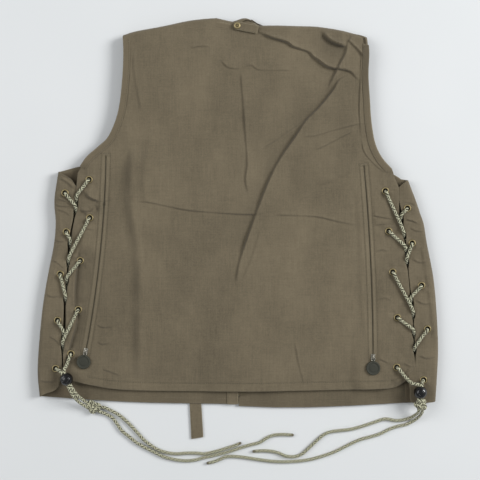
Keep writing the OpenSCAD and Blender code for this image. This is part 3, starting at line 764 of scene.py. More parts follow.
left_a = run(alternate(LEFT_BACK_EYES, LEFT_FRONT_EYES), LEFT_A_DIVES, LEFT_FRONT_EYES[0], (-255, -203))
left_a += points3((-255, -203, 20.5)) + through(LEFT_LOCK, LEFT_LOCK_DIR, PAIR_GAP / 2, -13, 25)
left_a += points3((-233, -253, 17), (-224, -262, 9))
left_b = run(alternate(LEFT_FRONT_EYES, LEFT_BACK_EYES), LEFT_B_DIVES, LEFT_BACK_EYES[0], (-261, -212))
left_b += through(LEFT_LOCK, LEFT_LOCK_DIR, -PAIR_GAP / 2, -13, 25)
left_b += points3((-239, -256, 17), (-225, -268, 8))
right_a = run(alternate(RIGHT_BACK_EYES, RIGHT_FRONT_EYES), RIGHT_A_DIVES, RIGHT_FRONT_EYES[0], (262, -228))
right_a += points3((250, -221, 19), (260, -229.5, 23.5))
right_a += through(RIGHT_LOCK, RIGHT_LOCK_DIR, -PAIR_GAP / 2, -11, 13)
right_b = run(alternate(RIGHT_FRONT_EYES, RIGHT_BACK_EYES), RIGHT_B_DIVES, RIGHT_BACK_EYES[0], (273, -229))
right_b += through(RIGHT_LOCK, RIGHT_LOCK_DIR, PAIR_GAP / 2, -11, 13)

LEFT_TAIL_A = [(-209, -267.5, 6), (-202, -268, 3), (-191, -273), (-180, -279), (-169, -288), (-158, -299),
               (-149, -309), (-140, -318.5), (-130, -326), (-120, -332), (-106, -336.5), (-92, -338),
               (-77, -337), (-63, -337), (-50, -338), (-40, -336), (-28, -333), (-12, -328), (-3, -325),
               (5, -321.5)]
LEFT_TAIL_B = [(-209, -273.5, 6), (-201, -277, 3), (-189, -284), (-182, -293), (-175, -303), (-164, -312),
               (-153, -321), (-139, -329), (-125, -336), (-113, -342), (-101, -345.5), (-87, -348),
               (-74, -348.5), (-62, -347), (-52, -344), (-40, -341.5), (-28, -338.5), (-14, -335),
               (1, -330), (17, -325), (33, -321), (42, -315), (52, -310.5), (67, -309), (84, -310)]
RIGHT_TAIL_A = [(269, -266, 22), (269, -272, 19), (265.5, -278, 11), (259, -283.5, 4.5), (249, -287),
                (237, -288), (222, -285.5), (204, -291), (189, -296), (175, -300), (164, -302),
                (153, -303), (136, -306), (127, -311), (120, -317), (112, -324.5), (105, -331),
                (97, -338), (87, -342), (72, -341.5), (59, -336), (41, -333.5), (22, -334.5)]
RIGHT_TAIL_B = [(274, -266, 22), (274.5, -273, 18), (271, -281, 10), (263.5, -288.5, 4), (253, -294),
                (241, -296.5), (228, -301), (215, -307.5), (201, -312), (186, -316), (173, -321.5),
                (160, -328), (149, -333.5), (138, -338), (124, -342.5), (109, -346.5), (96, -348.5),
                (83, -349.5), (68, -350), (54, -349.5), (40, -348), (26, -346), (10, -343.5),
                (-7, -342), (-18, -342.5), (-27, -346.5), (-36, -350), (-47, -352.5)]
TAIL_Z = 2.5

# points round a cord, strands each way round it, and a braid cell's length
BRAID_SIDES = 24
STRANDS = 6
CELL = 2.1


def braid_mesh(line, diameter=CORD_D, step=0.7, sealed=False):
    """Points, faces, braid map and sealed-end values of a braided cord."""
    m = BRAID_SIDES
    line = curved(line, step)
    _, n, b = carried(line)
    s = arc_lengths(line)
    u = np.arange(m + 1) * STRANDS / m
    w = s / CELL
    relief = np.sin(np.pi * ((u[:m] + w[:, None]) % 1)) * np.sin(np.pi * ((u[:m] - w[:, None]) % 1))
    seal = np.zeros(len(s))
    size = np.ones(len(s))
    if sealed:
        left = s[-1] - s
        seal = 1 - ramp(left, 2.5, 5.0)
        size = 1 - 0.12 * (1 - ramp(left, 1.0, 5.0)) - 0.45 * (1 - ramp(left, 0.0, 1.2)) ** 2
    size = size * (1 - 0.14 * ramp(np.abs(np.gradient(line[:, 2], s)), 0.6, 0.95))
    r = diameter / 2 * size[:, None] * (0.955 + 0.075 * relief * (1 - seal[:, None]))
    x, y = circle((0, 0), 1, m).T
    ring = line[:, None] + r[..., None] * (x[:, None] * n[:, None] + y[:, None] * b[:, None])
    row, side = np.indices((len(line) - 1, m))
    corners = [np.stack([u[side + i], w[row + j]], 2) for i, j in ((0, 0), (1, 0), (1, 1), (0, 1))]
    uv = np.vstack([np.stack(corners, axis=2).reshape(-1, 2), np.zeros((2 * m, 2))])
    return ring.reshape(-1, 3), skin(len(line), m), uv, np.repeat(seal, m), line


def braid_piece(name, meshes):
    """Cords as one piece, which replaces the CAD node that it is named after."""
    v, f = merged([m[:2] for m in meshes])
    obj = piece(name + "_cord", v, f, braid_material, "cord", "root", [name],
                seal=np.concatenate([m[3] for m in meshes]))
    layer = obj.data.uv_layers.new(name="braid")
    layer.data.foreach_set("uv", np.vstack([m[2] for m in meshes]).astype(np.float32).ravel())
    return obj


def knot_meshes(centre, forward, size):
    """An overhand knot tied in a doubled cord, along `forward`."""
    t = np.linspace(0, 2 * np.pi, 60)
    x, y = np.sin(t) + 2 * np.sin(2 * t), np.cos(t) - 2 * np.cos(2 * t)
    z = -np.sin(3 * t) + 1.1 * np.cos(t / 2)
    path = np.column_stack([x, y + 0.6, z])
    path = np.vstack([[-3.0, -0.35, 0.5], path, [3.0, -0.35, -0.6]])
    reach = (np.array(size) - CORD_D) / (5.6, 5.2, 5.2)
    fx, fy = unit(forward)
    strands = [path * reach + (0, 1.5 * k, 1.1 * k) for k in (-1, 1)]
    return [braid_mesh(turned(strand, (-fy, fx), centre), 4.7) for strand in strands]


braid_piece("left_lacing", [braid_mesh(left_b[::-1] + left_a)])
braid_piece("right_lacing", [braid_mesh(right_b[::-1] + right_a)])
braid_piece("left_knot", knot_meshes((-217, -268, 7.2), (1, -0.3), (23, 17, 12.5)))
braid_piece("right_knot", knot_meshes((270.5, -260.5, 23), (0, -1), (17, 16, 13)))
for name, route in (("left_tail_a", LEFT_TAIL_A), ("left_tail_b", LEFT_TAIL_B),
                    ("right_tail_a", RIGHT_TAIL_A), ("right_tail_b", RIGHT_TAIL_B)):
    tail = braid_mesh([(*p, TAIL_Z)[:3] for p in route], sealed=True)
    obj = braid_piece(name, [tail])

# ---- zips: where they run ------------------------------------------------------------------


class Zip:
    """An arc from a top to a bottom point, bowed towards +X."""

    def __init__(self, top, bottom, bow):
        top, bottom = np.array(top, float), np.array(bottom, float)
        self.length = np.linalg.norm(bottom - top)
        u = (bottom - top) / self.length
        side = np.array([u[1], -u[0]])
        self.radius = ((self.length / 2) ** 2 + bow**2) / (2 * bow)
        self.centre = (top + bottom) / 2 + side * (self.radius - bow)
        self.ends = [math.atan2(*(p - self.centre)[::-1]) for p in (top, bottom)]
        self.bottom = bottom

    def at(self, mm, h=0.0):
        """The points mm down the zip from its top, and h to its side."""
        mm = np.atleast_1d(np.asarray(mm, float))
        a = self.ends[0] + (self.ends[1] - self.ends[0]) * mm / self.length
        r = self.radius + np.asarray(h, float)
        return self.centre + np.column_stack([r * np.cos(a), r * np.sin(a)])

    def line(self, start, end, h=0.0, step=2.0):
        return self.at(np.linspace(start, self.length + end, int(self.length / step)), h)

    def slot(self, half, pucker):
        """Outline of the opening between the lips, pulled open a little at the pucker."""
        mm = np.linspace(-4.5, self.length + 7, int(self.length / 2))
        wide = half + 1.3 * bell(mm, pucker, 3.0)
        return np.vstack([self.at(mm, wide), self.at(mm, -wide)[::-1]])

    def up(self):
        a = self.ends[1]
        return np.array([-math.sin(a), math.cos(a)])


left_zip = Zip((-197, 106), (-227, -182), 6)
right_zip = Zip((188.5, 91), (201.7, -191), 3)
ZIPS = (left_zip, right_zip)
BOX_HALF = 7.0

# ---- the back's surface --------------------------------------------------------------------

DIAGONAL = [(150, 221.5), (142, 208), (120.6, 181.5), (102, 163), (86, 139), (57, 96), (29, 30), (14.5, -11),
            (3, -45)]
LEFT_FLAP = [(-259, -214), (-254, -190), (-248.5, -166), (-243, -148), (-241, -136), (-243.5, -112),
             (-243, -80), (-240, -50)]
# creases: points, height, how far the raised left side runs back, width of the step, overhang; the height and
# step width also set each crease's painted shade
CREASES = [
    ([(26, 296), (50, 286), (76, 277.5), (82, 272.5), (107, 263.5), (112, 257.5), (120, 252), (134, 242),
      (148, 238.5), (158, 237.5), (170, 233), (176, 225), (184, 221.6)], 4.6, 22, 1.1, 1.8),
    ([(173, 293), (163.2, 277), (159.3, 261), (152.8, 248), (145, 232.5), (131, 204)], 3.4, 7, 1.1, 0.7),
    ([(166, 231), *DIAGONAL, (-5, -84)], 4.0, 13, 1.3, 0.4),
    ([(106, 167), (78, 147), (51, 128.5), (32, 118)], 1.8, 9, 1.1, 0.0),
    ([(34, 6), (25, -28), (12, -62), (5, -80)], 1.3, 12, 1.4, 0.0),
    ([(3, 238), (7, 194), (11, 139), (13.5, 95), (11, 74), (16, 48)], 2.2, 14, 1.2, 0.3),
    ([(-26, 252), (-17, 242), (-4, 238.5), (6, 239)], 1.4, 9, 0.9, 0.2),
    ([(6, 239), (20, 244), (28, 238), (60, 236.5), (84, 237)], 1.3, 8, 0.8, 0.1),
    ([(-152, 40), (-134, 40), (-120, 37), (-96, 32), (-74, 28), (-40, 25), (7, 22), (40, 22)],
     1.9, 12, 0.9, 0.4),
    ([(50, 21), (90, 20), (120, 18), (150, 11), (182, 5)], 1.5, 10, 0.8, 0.2),
    ([(194, 21.8), (198, 21), (212, 18), (227, 15.5), (236, 14)], 2.0, 9, 0.8, 0.5),
    ([(200, 5), (214, 7), (230, 8)], 1.1, 7, 0.9, 0.2),
    ([(-160, 125), (-164, 80), (-165, 36), (-156, -16), (-152, -106), (-154, -225)], 5.0, 60, 4.2, 0.0),
    ([(-128, 150), (-140, 110), (-143, 60), (-136, 20)], 1.6, 22, 3.0, 0.0),
    ([(92, 137), (115, 139), (140, 146.5), (165, 153), (188, 159.5)], 1.6, 9, 0.9, 0.2),
    ([(112, 117), (120, 119.5), (135, 127), (155, 137.5), (175, 147.5)], 2.2, 9, 0.9, 0.4),
    ([(112, 63), (140, 72), (165, 85), (180, 98)], 1.8, 16, 2.4, 0.0),
    ([(-72, 268), (-57, 272), (-40, 272)], 1.4, 8, 0.8, 0.2),
    ([(-155, 268), (-156, 240), (-150, 205), (-145, 172)], 1.4, 9, 1.4, 0.0),
    ([(-229, 56), (-226, 52), (-219.9, 46.5), (-210.8, 43), (-200, 42.3), (-186, 44)], 4.4, 7, 1.3, 1.2),
    ([(-237, 29), (-226.1, 26.5), (-218.4, 28.5), (-215.3, 36.2)], 4.0, 6, 1.3, 0.9),
    ([(-212.8, 38), (-208, 30.5), (-207.7, 25.4)], 3.6, 5, 1.3, 0.6),
    ([(-236, 8), (-226, 1), (-214, -2)], 1.0, 6, 0.9, 0.1),
    ([(84, -165), (90, -200), (99, -232)], 1.2, 9, 1.0, 0.0),
    ([(-212, -143), (-200, -147), (-186, -145)], 1.4, 7, 0.9, 0.1),
    ([(-210, -169), (-202, -172), (-190, -169)], 1.4, 7, 0.9, 0.1),
    ([(-204, -209), (-192, -213), (-176, -219)], 1.4, 9, 1.1, 0.1),
    ([(209, -194), (216, -196), (224, -200)], 1.2, 6, 0.8, 0.2),
    ([(247, -201), (253, -203), (260, -206)], 0.9, 5, 0.8, 0.0),
    ([(206, -107), (218, -103), (230, -107)], 0.9, 6, 0.9, 0.0),
    ([(204, -36), (214, -31), (224, -33)], 1.2, 7, 0.9, 0.1),
    ([(125, 295), (134, 283), (143, 277), (152, 273.5), (163, 271)], 4.8, 14, 1.5, 0.9),
    ([(162, 283), (167, 278), (178.8, 266.4), (188, 255)], 3.6, 7, 1.1, 0.7),
    ([(175, 291), (184, 288), (188.5, 283), (187.5, 277), (183, 270)], 2.6, 4, 0.9, 0.5),
    ([(186, 272), (183, 250), (182, 215), (181, 175), (184, 132)], 1.7, 7, 0.7, 0.3),
    ([(184, 136), (188, 116), (202, 98), (222, 82)], 1.3, 6, 0.7, 0.2),
    ([(-160, 272), (-162, 219), (-167, 179), (-176, 150)], 0.9, 6, 0.8, 0.0),
    ([*LEFT_FLAP, (-237, -25)], 3.4, 9, 1.2, 1.0),
    ([(-205, 60), (-207, 20), (-212, -40), (-219, -100)], 1.0, 8, 1.6, 0.0),
    ([(176, 60), (180, -10), (182, -90), (187, -160)], 0.9, 14, 2.2, 0.0),
]
# dips beside a raised edge: points, depth, how far the low right side runs; the depth also sets the painted
# shade in the dip
DIPS = [
    ([(-235, 60), (-227, 51), (-216, 43), (-200, 40)], 1.5, 7),
    ([(-240, 32), (-229, 23), (-219, 23.5), (-212, 29), (-209, 40)], 1.6, 5),
    (DIAGONAL, 1.6, 11),
    ([*LEFT_FLAP, (-237, -20)], 3.2, 15),
    ([(122, 298), (134, 283), (143, 277), (152, 273.5), (166, 270)], 3.0, 9),
    ([(-214, 26), (-209, 34), (-214, 42)], 1.2, 5),
]
CREASE_ROWS = (-3.2, -2.0, -1.1, -0.4, 0.3, 1.0, 1.9, 3.2, 5.0)

BACK_EYES = LEFT_BACK_EYES + RIGHT_BACK_EYES
SHOULDER_LINE = np.vstack([curved(LEFT_SHOULDER, 4), curved(BACK_NECK, 4), curved(RIGHT_SHOULDER, 4)])
HEM_LINE = curved(BACK_HEM, 4)
EDGE_LINES = [curved(LEFT_BACK_EDGE, 5), curved(RIGHT_BACK_EDGE, 5)]
ZIP_STITCHES = []
for z in ZIPS:
    ZIP_STITCHES += [z.line(-7, 6, BOX_HALF), z.line(-7, 6, -BOX_HALF),
                     np.vstack([z.at(-7, BOX_HALF), z.at(-7, -BOX_HALF)]),
                     np.vstack([z.at(-3.5, BOX_HALF - 1.5), z.at(-3.5, 1.5 - BOX_HALF)])]
BACK_STITCHES = [curved(shifted(BACK_HEM[1:-1], 0, 12), 3), *ZIP_STITCHES]


def clear_of_hardware(p):
    """0 at the eyelets, slits, zips and snap, growing to 1 where the cloth is free to move."""
    zips = [z.line(-5, 30, 0, 20) for z in ZIPS]
    gaps = [gap_to_points(p, BACK_EYES) - 8, gap_to_any(p, EDGE_LINES, 50) - 5, gap_to_any(p, zips, 60) - 13,
            np.linalg.norm(p - (8, 302), axis=1) - 22]
    return ramp(np.min(gaps, axis=0), 0, 38)


def faded(s, total, share, most):
    """1 along a crease, falling to 0 at its ends."""
    ends = min(share * total, most)
    return ramp(s, 0, ends) * ramp(total - s, 0, ends)


def creased(p, table, dips=()):
    """Height, sideways shift and painted shade that the creases and dips give."""
    z, move, dark = np.zeros(len(p)), np.zeros((len(p), 2)), np.zeros(len(p))
    for line, high, back, sharp, over in table:
        line = curved(line, 4)
        near = np.all((p > line.min(0) - 5 * back) & (p < line.max(0) + 5 * back), axis=1)
        if not near.any():
            continue
        d, s, n = nearest(p[near], line, 5 * back)
        fade = faded(s, arc_lengths(line)[-1], 0.22, 22) * (np.abs(d) < 5 * back)
        fade = fade * (0.8 + 0.2 * np.sin(s / 13 + high))
        sharp, high = 0.75 * sharp, 1.1 * high
        step = 1 / (1 + np.exp(-np.clip(d / sharp, -30, 30)))
        rise = step * np.exp(-np.maximum(d, 0) / back) + 0.35 * bell(d, 2.4 * sharp, 1.6 * sharp)
        z[near] += high * fade * (rise - 0.22 * bell(d, -2.4 * sharp, 2.2 * sharp))
        # painted shade along the low side of each crease
        crease_shade = min(1.2, 0.22 * high) / max(1, sharp) ** 2
        dark[near] += crease_shade * fade * bell(d, -0.2 * sharp, 0.7 * sharp + 0.3)
        move[near] -= n * (over * fade * bell(d, sharp, 1.8 * sharp))[:, None]
    for line, deep, width in dips:
        line = curved(line, 4)
        d, s, _ = nearest(p, line, 5 * width)
        fade = faded(s, arc_lengths(line)[-1], 0.25, 24) * np.exp(-np.maximum(-d, 0) / width)
        fade /= 1 + np.exp(np.clip(d / 0.8, -30, 30))
        z -= deep * fade
        # painted shade in each dip
        dark += 0.42 * deep * fade
    return z, move, dark


def arch(gap):
    """Fall from half height at a fold line to a flat face."""
    return np.where(gap < FOLD_R, FOLD_R - np.sqrt(np.maximum(FOLD_R**2 - (FOLD_R - gap) ** 2, 0)), 0)


def puckers(p, eyes, high, folds, turn, far, wide):
    """Small folds that radiate from each eyelet."""
    z = np.zeros(len(p))
    for k, eye in enumerate(eyes):
        x, y = (p - eye).T
        wave = np.cos((folds + k % 3) * np.arctan2(y, x) + turn * k)
        z += high * wave * bell(np.hypot(x, y), far, wide)
    return z


# the back's broad swells, how far its hem falls, and how far in from the hem that reaches
SWELL = 2.2
HEM_FALL = 6.0
HEM_REACH = 42


def back_surface(p):
    """Height of the back's top face and its sideways shift."""
    free = clear_of_hardware(p)
    z = BACK_TOP + free * (SWELL * noise2(p, 90, 3) + 1.0 * noise2(p * (1, 0.45), 34, 5) + SWELL)
    z = z + (0.15 + 0.25 * free) * noise2(p, 12, 8)
    pull = gap_to_any(p, EDGE_LINES, 60)
    z += 0.75 * noise2(p * (0.3, 1), 8.5, 12) * ramp(pull, 0, 8) * (1 - ramp(pull, 22, 50))
    hem = gap_to(p, HEM_LINE, 120)
    z -= HEM_FALL * bell(hem, 0, HEM_REACH) * ramp(free, 0, 0.7)
    lift, move, _ = creased(p, CREASES, DIPS)
    z += lift + puckers(p, BACK_EYES, 0.8, 4, 1.7, 11, 4.0)
    z += (BACK_TOP - z) * (1 - ramp(gap_to_points(p, BACK_EYES), 6.0, 8.5))
    for q in ZIPS:
        d, s, _ = nearest(p, q.line(-6, 8, 0, 6), 14)
        lip = 0.55 * bell(d, 2.0) * ramp(q.length - s, -2, 16) * ramp(s, 26, 42)
        d = np.abs(d)
        z = np.where(d < 12, z + (BACK_TOP - z) * (1 - ramp(d, 8, 12)), z)
        z += lip - 0.45 * (1 - ramp(d, 2.0, 5.5)) - 0.25 * bell(d, 4.4, 1.3)
    z -= 0.3 * bell(gap_to_any(p, BACK_STITCHES, 4), 0, 0.9)
    z += 0.25 * (1 - ramp(hem, 10.5, 12.5)) * ramp(free, 0, 0.5)
    top = gap_to(p, SHOULDER_LINE, 14)
    return z - arch(top), move * ramp(top, 1, 12)[:, None]


def edge_drop(gap):
    return 0.45 * np.clip(1 - gap / 1.1, 0, 1) ** 2


def bores(eyes):
    return [circle(eye, BORE_R, 20) for eye in eyes]


back_outline = joined([
    LEFT_SHOULDER, BACK_NECK, RIGHT_SHOULDER, RIGHT_ARMHOLE,
    [(231.5, 86), (234, 77), (237.5, 69)] + [q for q in RIGHT_BACK_EDGE if -207 < q[1] < 62],
    BACK_HEM[::-1], list(LEFT_BACK_EDGE[::-1]), LEFT_ARMHOLE[::-1]], EDGE_STEP)
# two openings: above the nape strap, and in the rolled corner of the shoulder
NECK_GAP = [(6, 309.4), (11, 312.6), (17, 312.6), (25, 309.2), (24, 308.2), (17, 309), (10, 308.8)]
ROLL_CENTRE = (188.8, 279.2)
ROLL_AXES = [(1.71, 0.76), (-1.2, 4.8)]
back_holes = bores(BACK_EYES) + [left_zip.slot(LIP, 69), right_zip.slot(LIP, 300)]
back_holes += [spaced(NECK_GAP, 1.6, closed=True), circle((0, 0), 1, 18) @ ROLL_AXES + ROLL_CENTRE]


def level(z):
    """A flat surface at a height."""
    return lambda p: (np.full(len(p), z), None)


def cloth_sheet(outline, holes, step, surface, lines=(), rows=EDGE_ROWS):
    """A cloth's outer surface: points, triangles, flat points and their distance to an edge."""
    p, f = fill(outline, holes, inner_points(outline, holes, step, lines, rows))
    z, move = surface(p)
    gap = gap_to_any(p, rims(outline, holes), 8)
    return np.column_stack([p + move, z - edge_drop(gap)]), f, p, gap


crease_lines = [(c[0], CREASE_ROWS) for c in CREASES + DIPS]
crease_lines += [(line, (-1.3, -0.6, 0, 0.6, 1.3)) for line in BACK_STITCHES]
crease_lines += [(z.line(-6, 8, h), (-1.0, 0, 1.0)) for z in ZIPS for h in (-3.6, 3.6)]
crease_lines += [(SHOULDER_LINE, (-0.4, -1.0, -1.8, -2.8, -4.2, -6))]
STEP = 3.1
v, f, p, gap = cloth_sheet(back_outline, back_holes, STEP, back_surface, crease_lines)
slot_gap = gap_to_any(p, [z.line(-2, 7, 0, 6) for z in ZIPS], 12)
thick = np.where(slot_gap < 5, LIP_T + (CLOTH_T - LIP_T) * ramp(slot_gap, 2.2, 5), CLOTH_T)
# Paler at the edges and beside the zips: worn cloth, partly a painted highlight. Painted shade along the
# stitch lines, at the edges, and in the creases and dips.
wear = 0.3 * np.exp(-gap / 0.9) + 0.25 * bell(slot_gap, 4.0, 1.6)
deep = 0.4 * bell(gap_to_any(p, BACK_STITCHES, 4), 0, 0.7) + 0.22 * np.exp(-gap / 0.8)
deep = np.clip(deep + CREASE_SHADE * creased(p, CREASES, DIPS)[2], 0, 0.8)
v2, f2 = thicken(v, f, thick)
back_cloth = piece("back_cloth", v2, f2, cloth, "cloth", "root", ["back_outer"],
                   wear=np.tile(np.clip(wear, 0, 1), 2), deep=np.tile(deep, 2))


# the rear pocket's inner wall follows the back from below
lining_outline = joined([
    [(-166, 284), (-112, 296), (-70, 304), (-32, 306), (-8, 308), (4, 312.8), (13, 315), (21, 313.5),
     (30, 307.5), (60, 300), (87, 296), (155, 290), (192.4, 284)],
    shifted([(195, 272)] + RIGHT_ARMHOLE, -3), shifted([q for q in RIGHT_BACK_EDGE if q[1] < 66], -2),
    BACK_HEM[::-1], shifted(LEFT_BACK_EDGE[::-1], 1), shifted(LEFT_ARMHOLE[::-1], 3)], 5)


def lining_surface(p):
    z, _ = back_surface(p)
    return np.minimum(z - 2.7, LINING_Z + 0.9), np.zeros((len(p), 2))


v, f, *_ = cloth_sheet(lining_outline, bores(BACK_EYES), 7, lining_surface)
back_lining = piece("back_lining_cloth", *thicken(v, f, 0.8), lining_cloth, "lining", "root", ["back_lining"])

# ---- fronts: panel, side fold and laced strip as one folded cloth ---------------------------

FOLD_ROWS = (0.25, 0.8, 1.7, 3.0, 4.6, 6.4)
PANEL_STEP = 6
STRIP_CREASES = [
    ([(-267.4, 82.8), (-250.5, 75.2), (-239.8, 62.2), (-236.8, 50)], 3.8, 6, 1.3, 0.6),
    ([(-267.4, 77.5), (-253.6, 68.3), (-243, 59)], 3.0, 5, 1.3, 0.4),
    ([(-273.5, 43.8), (-261.3, 43), (-244.4, 33.1)], 1.5, 6, 0.9, 0.3),
    ([(-274, 36), (-262, 33.5), (-250, 34)], 1.5, 7, 0.9, 0.1),
    ([(-271, 29), (-260, 26), (-249, 19)], 1.2, 6, 0.9, 0.0),
    ([(-276, -14), (-267, -19), (-257, -18)], 1.3, 6, 0.8, 0.1),
    ([(-280, -46), (-270, -50), (-259, -60)], 1.4, 6, 0.8, 0.1),
    ([(-290, -96), (-278, -101), (-264, -100)], 1.4, 7, 0.9, 0.1),
    ([(-283, -160), (-272, -166), (-263, -176)], 1.3, 7, 0.9, 0.0),
    ([(-298, -226), (-284, -228), (-270, -226)], 1.2, 8, 1.0, 0.0),
    ([(-268, 30), (-267, -10), (-273, -50), (-279, -90)], 1.0, 9, 1.3, 0.0),
    ([(250, 14), (258, 12.5), (268, 8.6)], 2.0, 6, 0.7, 0.3),
    ([(248, 40), (258, 38), (267, 34)], 1.3, 6, 0.8, 0.0),
    ([(256, 2), (266, -3), (276, -4)], 1.2, 6, 0.8, 0.0),
    ([(259, -44), (270, -50), (284, -49)], 1.3, 7, 0.9, 0.0),
    ([(264, -106), (278, -112), (292, -110)], 1.3, 8, 0.9, 0.0),
    ([(268, -188), (282, -193), (297, -190)], 1.2, 8, 1.0, 0.0),
    ([(272, -20), (280, -70), (287, -120), (290, -170)], 1.1, 10, 1.5, 0.0),
]


def front_cloth(side, panel_edges, strip_edges, fold, shoulder, strip_eyes, seed):
    """A front's panel and laced strip, joined along the fold at the side.

    In the edges, "fold" stands for the fold line from its top down and "dlof" for its way back."""
    fold_line = curved(fold, EDGE_STEP)
    shoulder_line = curved(shoulder, 3)
    lines = {"fold": fold_line, "dlof": fold_line[::-1]}

    def panel_surface(p):
        z = FRONT_Z + arch(gap_to(p, fold_line, 12)) + arch(gap_to(p, shoulder_line, 12))
        z += 1.1 * np.maximum(noise2(p * (1, 0.25), 12, seed + 5), 0) * ramp(-p[:, 1], 215, 232)
        return np.minimum(z, FRONT_Z + FOLD_R)

    def strip_surface(p):
        flank = gap_to(p, fold_line, 14)
        lift = 0.7 * noise2(p * (0.5, 1), 12, seed) + creased(p, STRIP_CREASES)[0]
        lift = lift * ramp(gap_to_points(p, strip_eyes), 6, 11) + puckers(p, strip_eyes, 0.6, 3, 2.1, 10, 3.5)
        tuck = ramp(p[:, 1], 40, 58) * (1 - ramp(np.abs(np.abs(p[:, 0]) - 240), 2, 9))
        return BACK_TOP + lift * ramp(flank, 0, 8) - arch(flank) - 2.0 * tuck

    own = [c for c in STRIP_CREASES if (c[0][0][0] < 0) == (side == "left")]
    parts, gaps = [], []
    for edges, surface, under, holes, step, creases in (
            (panel_edges, panel_surface, True, [], PANEL_STEP, []),
            (strip_edges, strip_surface, False, bores(strip_eyes), STEP, own)):
        outline = joined([lines[e] if isinstance(e, str) else e for e in edges], EDGE_STEP)
        rows = [(fold, [s * d for d in FOLD_ROWS for s in (-1, 1)])] + [(c[0], CREASE_ROWS) for c in creases]
        p, f = fill(outline, holes, inner_points(outline, holes, step, rows))
        gap = gap_to_any(p, rims(outline, holes), 8)
        at_fold = gap_to(p, fold_line, 8)
        z = surface(p) - np.where(at_fold < 2.5, 0, edge_drop(gap)) * (-1 if under else 1)
        z = np.where(at_fold < 0.02, FRONT_Z + FOLD_R, z)
        parts.append((np.column_stack([p, z]), (f[:, ::-1] if under else f).tolist()))
        gaps.append(np.where(at_fold < 2.5, at_fold + 0.6, gap))
    v, f, kept = welded(parts)
    # paler edges: worn cloth, partly a painted highlight
    wear = 0.35 * np.exp(-np.concatenate(gaps)[kept] / 0.9)
    x, y, z = v.T
    # painted shade in the strips' creases, on the hem strip under the back's hem, and in the gaps by the
    # lower corners
    deep = CREASE_SHADE * creased(v[:, :2], STRIP_CREASES)[2] * (z > BACK_Z)
    deep += 0.2 * ramp(-y, 226, 240) * (np.abs(x) < 257)
    deep += (z < BACK_Z) * ramp(-y, 202, 214) * (0.32 * bell(x, 254, 7) + 0.28 * ramp(-x, 244, 256))
    obj = piece(side + "_front_cloth", *thicken(v, f, CLOTH_T), cloth, "cloth", "root", [side + "_front"],
                wear=np.tile(wear, 2), deep=np.tile(np.clip(deep, 0, 0.8), 2))


front_cloth(
    "left",
    [LEFT_SHOULDER, [(-30, 285), (-20, 225), (-5, 160)], [(-5, 160), (-5, -263)], FRONT_HEM_LEFT[::-1],
     "dlof", [(-260, 88.5), (-243, 93.2)], LEFT_FRONT_ARMHOLE[::-1]],
    ["fold", [(-288, -246), (-273, -240.5), (-268, -235), (-264.5, -222)],
     [(x + 3.3 * ramp(y, 48, 60), y) for x, y in LEFT_STRIP_EDGE[::-1] if y < 62],
     [(-247, 73), (-258, 80.5)]],
    LEFT_FOLD, LEFT_SHOULDER, LEFT_FRONT_EYES, 21)
front_cloth(
    "right",
    [[(30, 285), (60, 296)], RIGHT_SHOULDER, RIGHT_FRONT_ARMHOLE, "fold", FRONT_HEM_RIGHT[::-1],
     [(1.2, -266), (1.2, -253), (5, -246), (5, 160)], [(5, 160), (20, 225), (30, 285)]],
    ["dlof", [(251, 71.3), (245, 66.5)],
     [(x - 2.6 * ramp(y, 36, 52), y) for x, y in RIGHT_STRIP_EDGE if -196 < y < 62],
     [(264, -203), (258, -212), (254.5, -222), (256.5, -238), (259, -258), (281, -259.5)]],
    RIGHT_FOLD, RIGHT_SHOULDER, RIGHT_FRONT_EYES, 22)

# ---- flat sewn pieces ----------------------------------------------------------------------


def patch(name, outline, z_top, t, material, slot, replaces=(), body="root", puff=0.0, step=6.0, over=None):
    """A sewn patch of cloth with rolled edges, puffed a little in the middle.

    Where `over` is a height, the patch is turned over about it, with its good side to the ground."""
    loop = spaced(outline, min(3.0, step), closed=True)

    def surface(p):
        gap = gap_to_any(p, rims(loop), 20)
        return z_top + puff * ramp(gap, 0, 14) + 0.12 * noise2(p, 8, 40), np.zeros((len(p), 2))

    v, f, p, gap = cloth_sheet(loop, [], step, surface, rows=(0.5, 1.4))
    v, f = thicken(v, f, t)
    if over:
        v[:, 2] = 2 * over - v[:, 2]
        f = [q[::-1] for q in f]
    obj = piece(name, v, f, material, slot, body, replaces, wear=np.tile(0.8 * np.exp(-gap / 0.8), 2))
    return obj


def box_outline(x0, x1, y0, y1, corner=4.0):
    out = []
    for cx, cy, turn in ((x1 - corner, y1 - corner, 0), (x0 + corner, y1 - corner, 1),
                         (x0 + corner, y0 + corner, 2), (x1 - corner, y0 + corner, 3)):
        out += [(cx + corner * math.cos(t), cy + corner * math.sin(t))
                for t in np.linspace(turn * np.pi / 2, (turn + 1) * np.pi / 2, 5)]
    return np.array(out)


# kind, box on the right side, top, thickness, puff, and the height it is turned over about
POCKETS = (("chest_pocket", (60, 140, 60, 150), 2.4, 1.0, 0.6, 1.6),
           ("lower_pocket", (61, 215, -225, -58), 2.4, 1.0, 0.6, 1.6),
           ("pocket_flap", (57, 219, -56, -22), 3.1, 0.9, 0.0, 2.65))
for kind, (x0, x1, *ys), top, t, puff, over in POCKETS:
    for side, xs in (("left", (-x1, -x0)), ("right", (x0, x1))):
        patch(f"{side}_{kind}_cloth", box_outline(*xs, *ys), top, t, cloth, "cloth", [f"{side}_{kind}"],
              puff=puff, over=over)
PLACKET_TOP = 6.5
patch("front_placket_cloth", box_outline(-16, 0.8, -263.2, 140, 0.6), PLACKET_TOP, 0.9, cloth, "cloth",
      ["front_placket"], step=4)
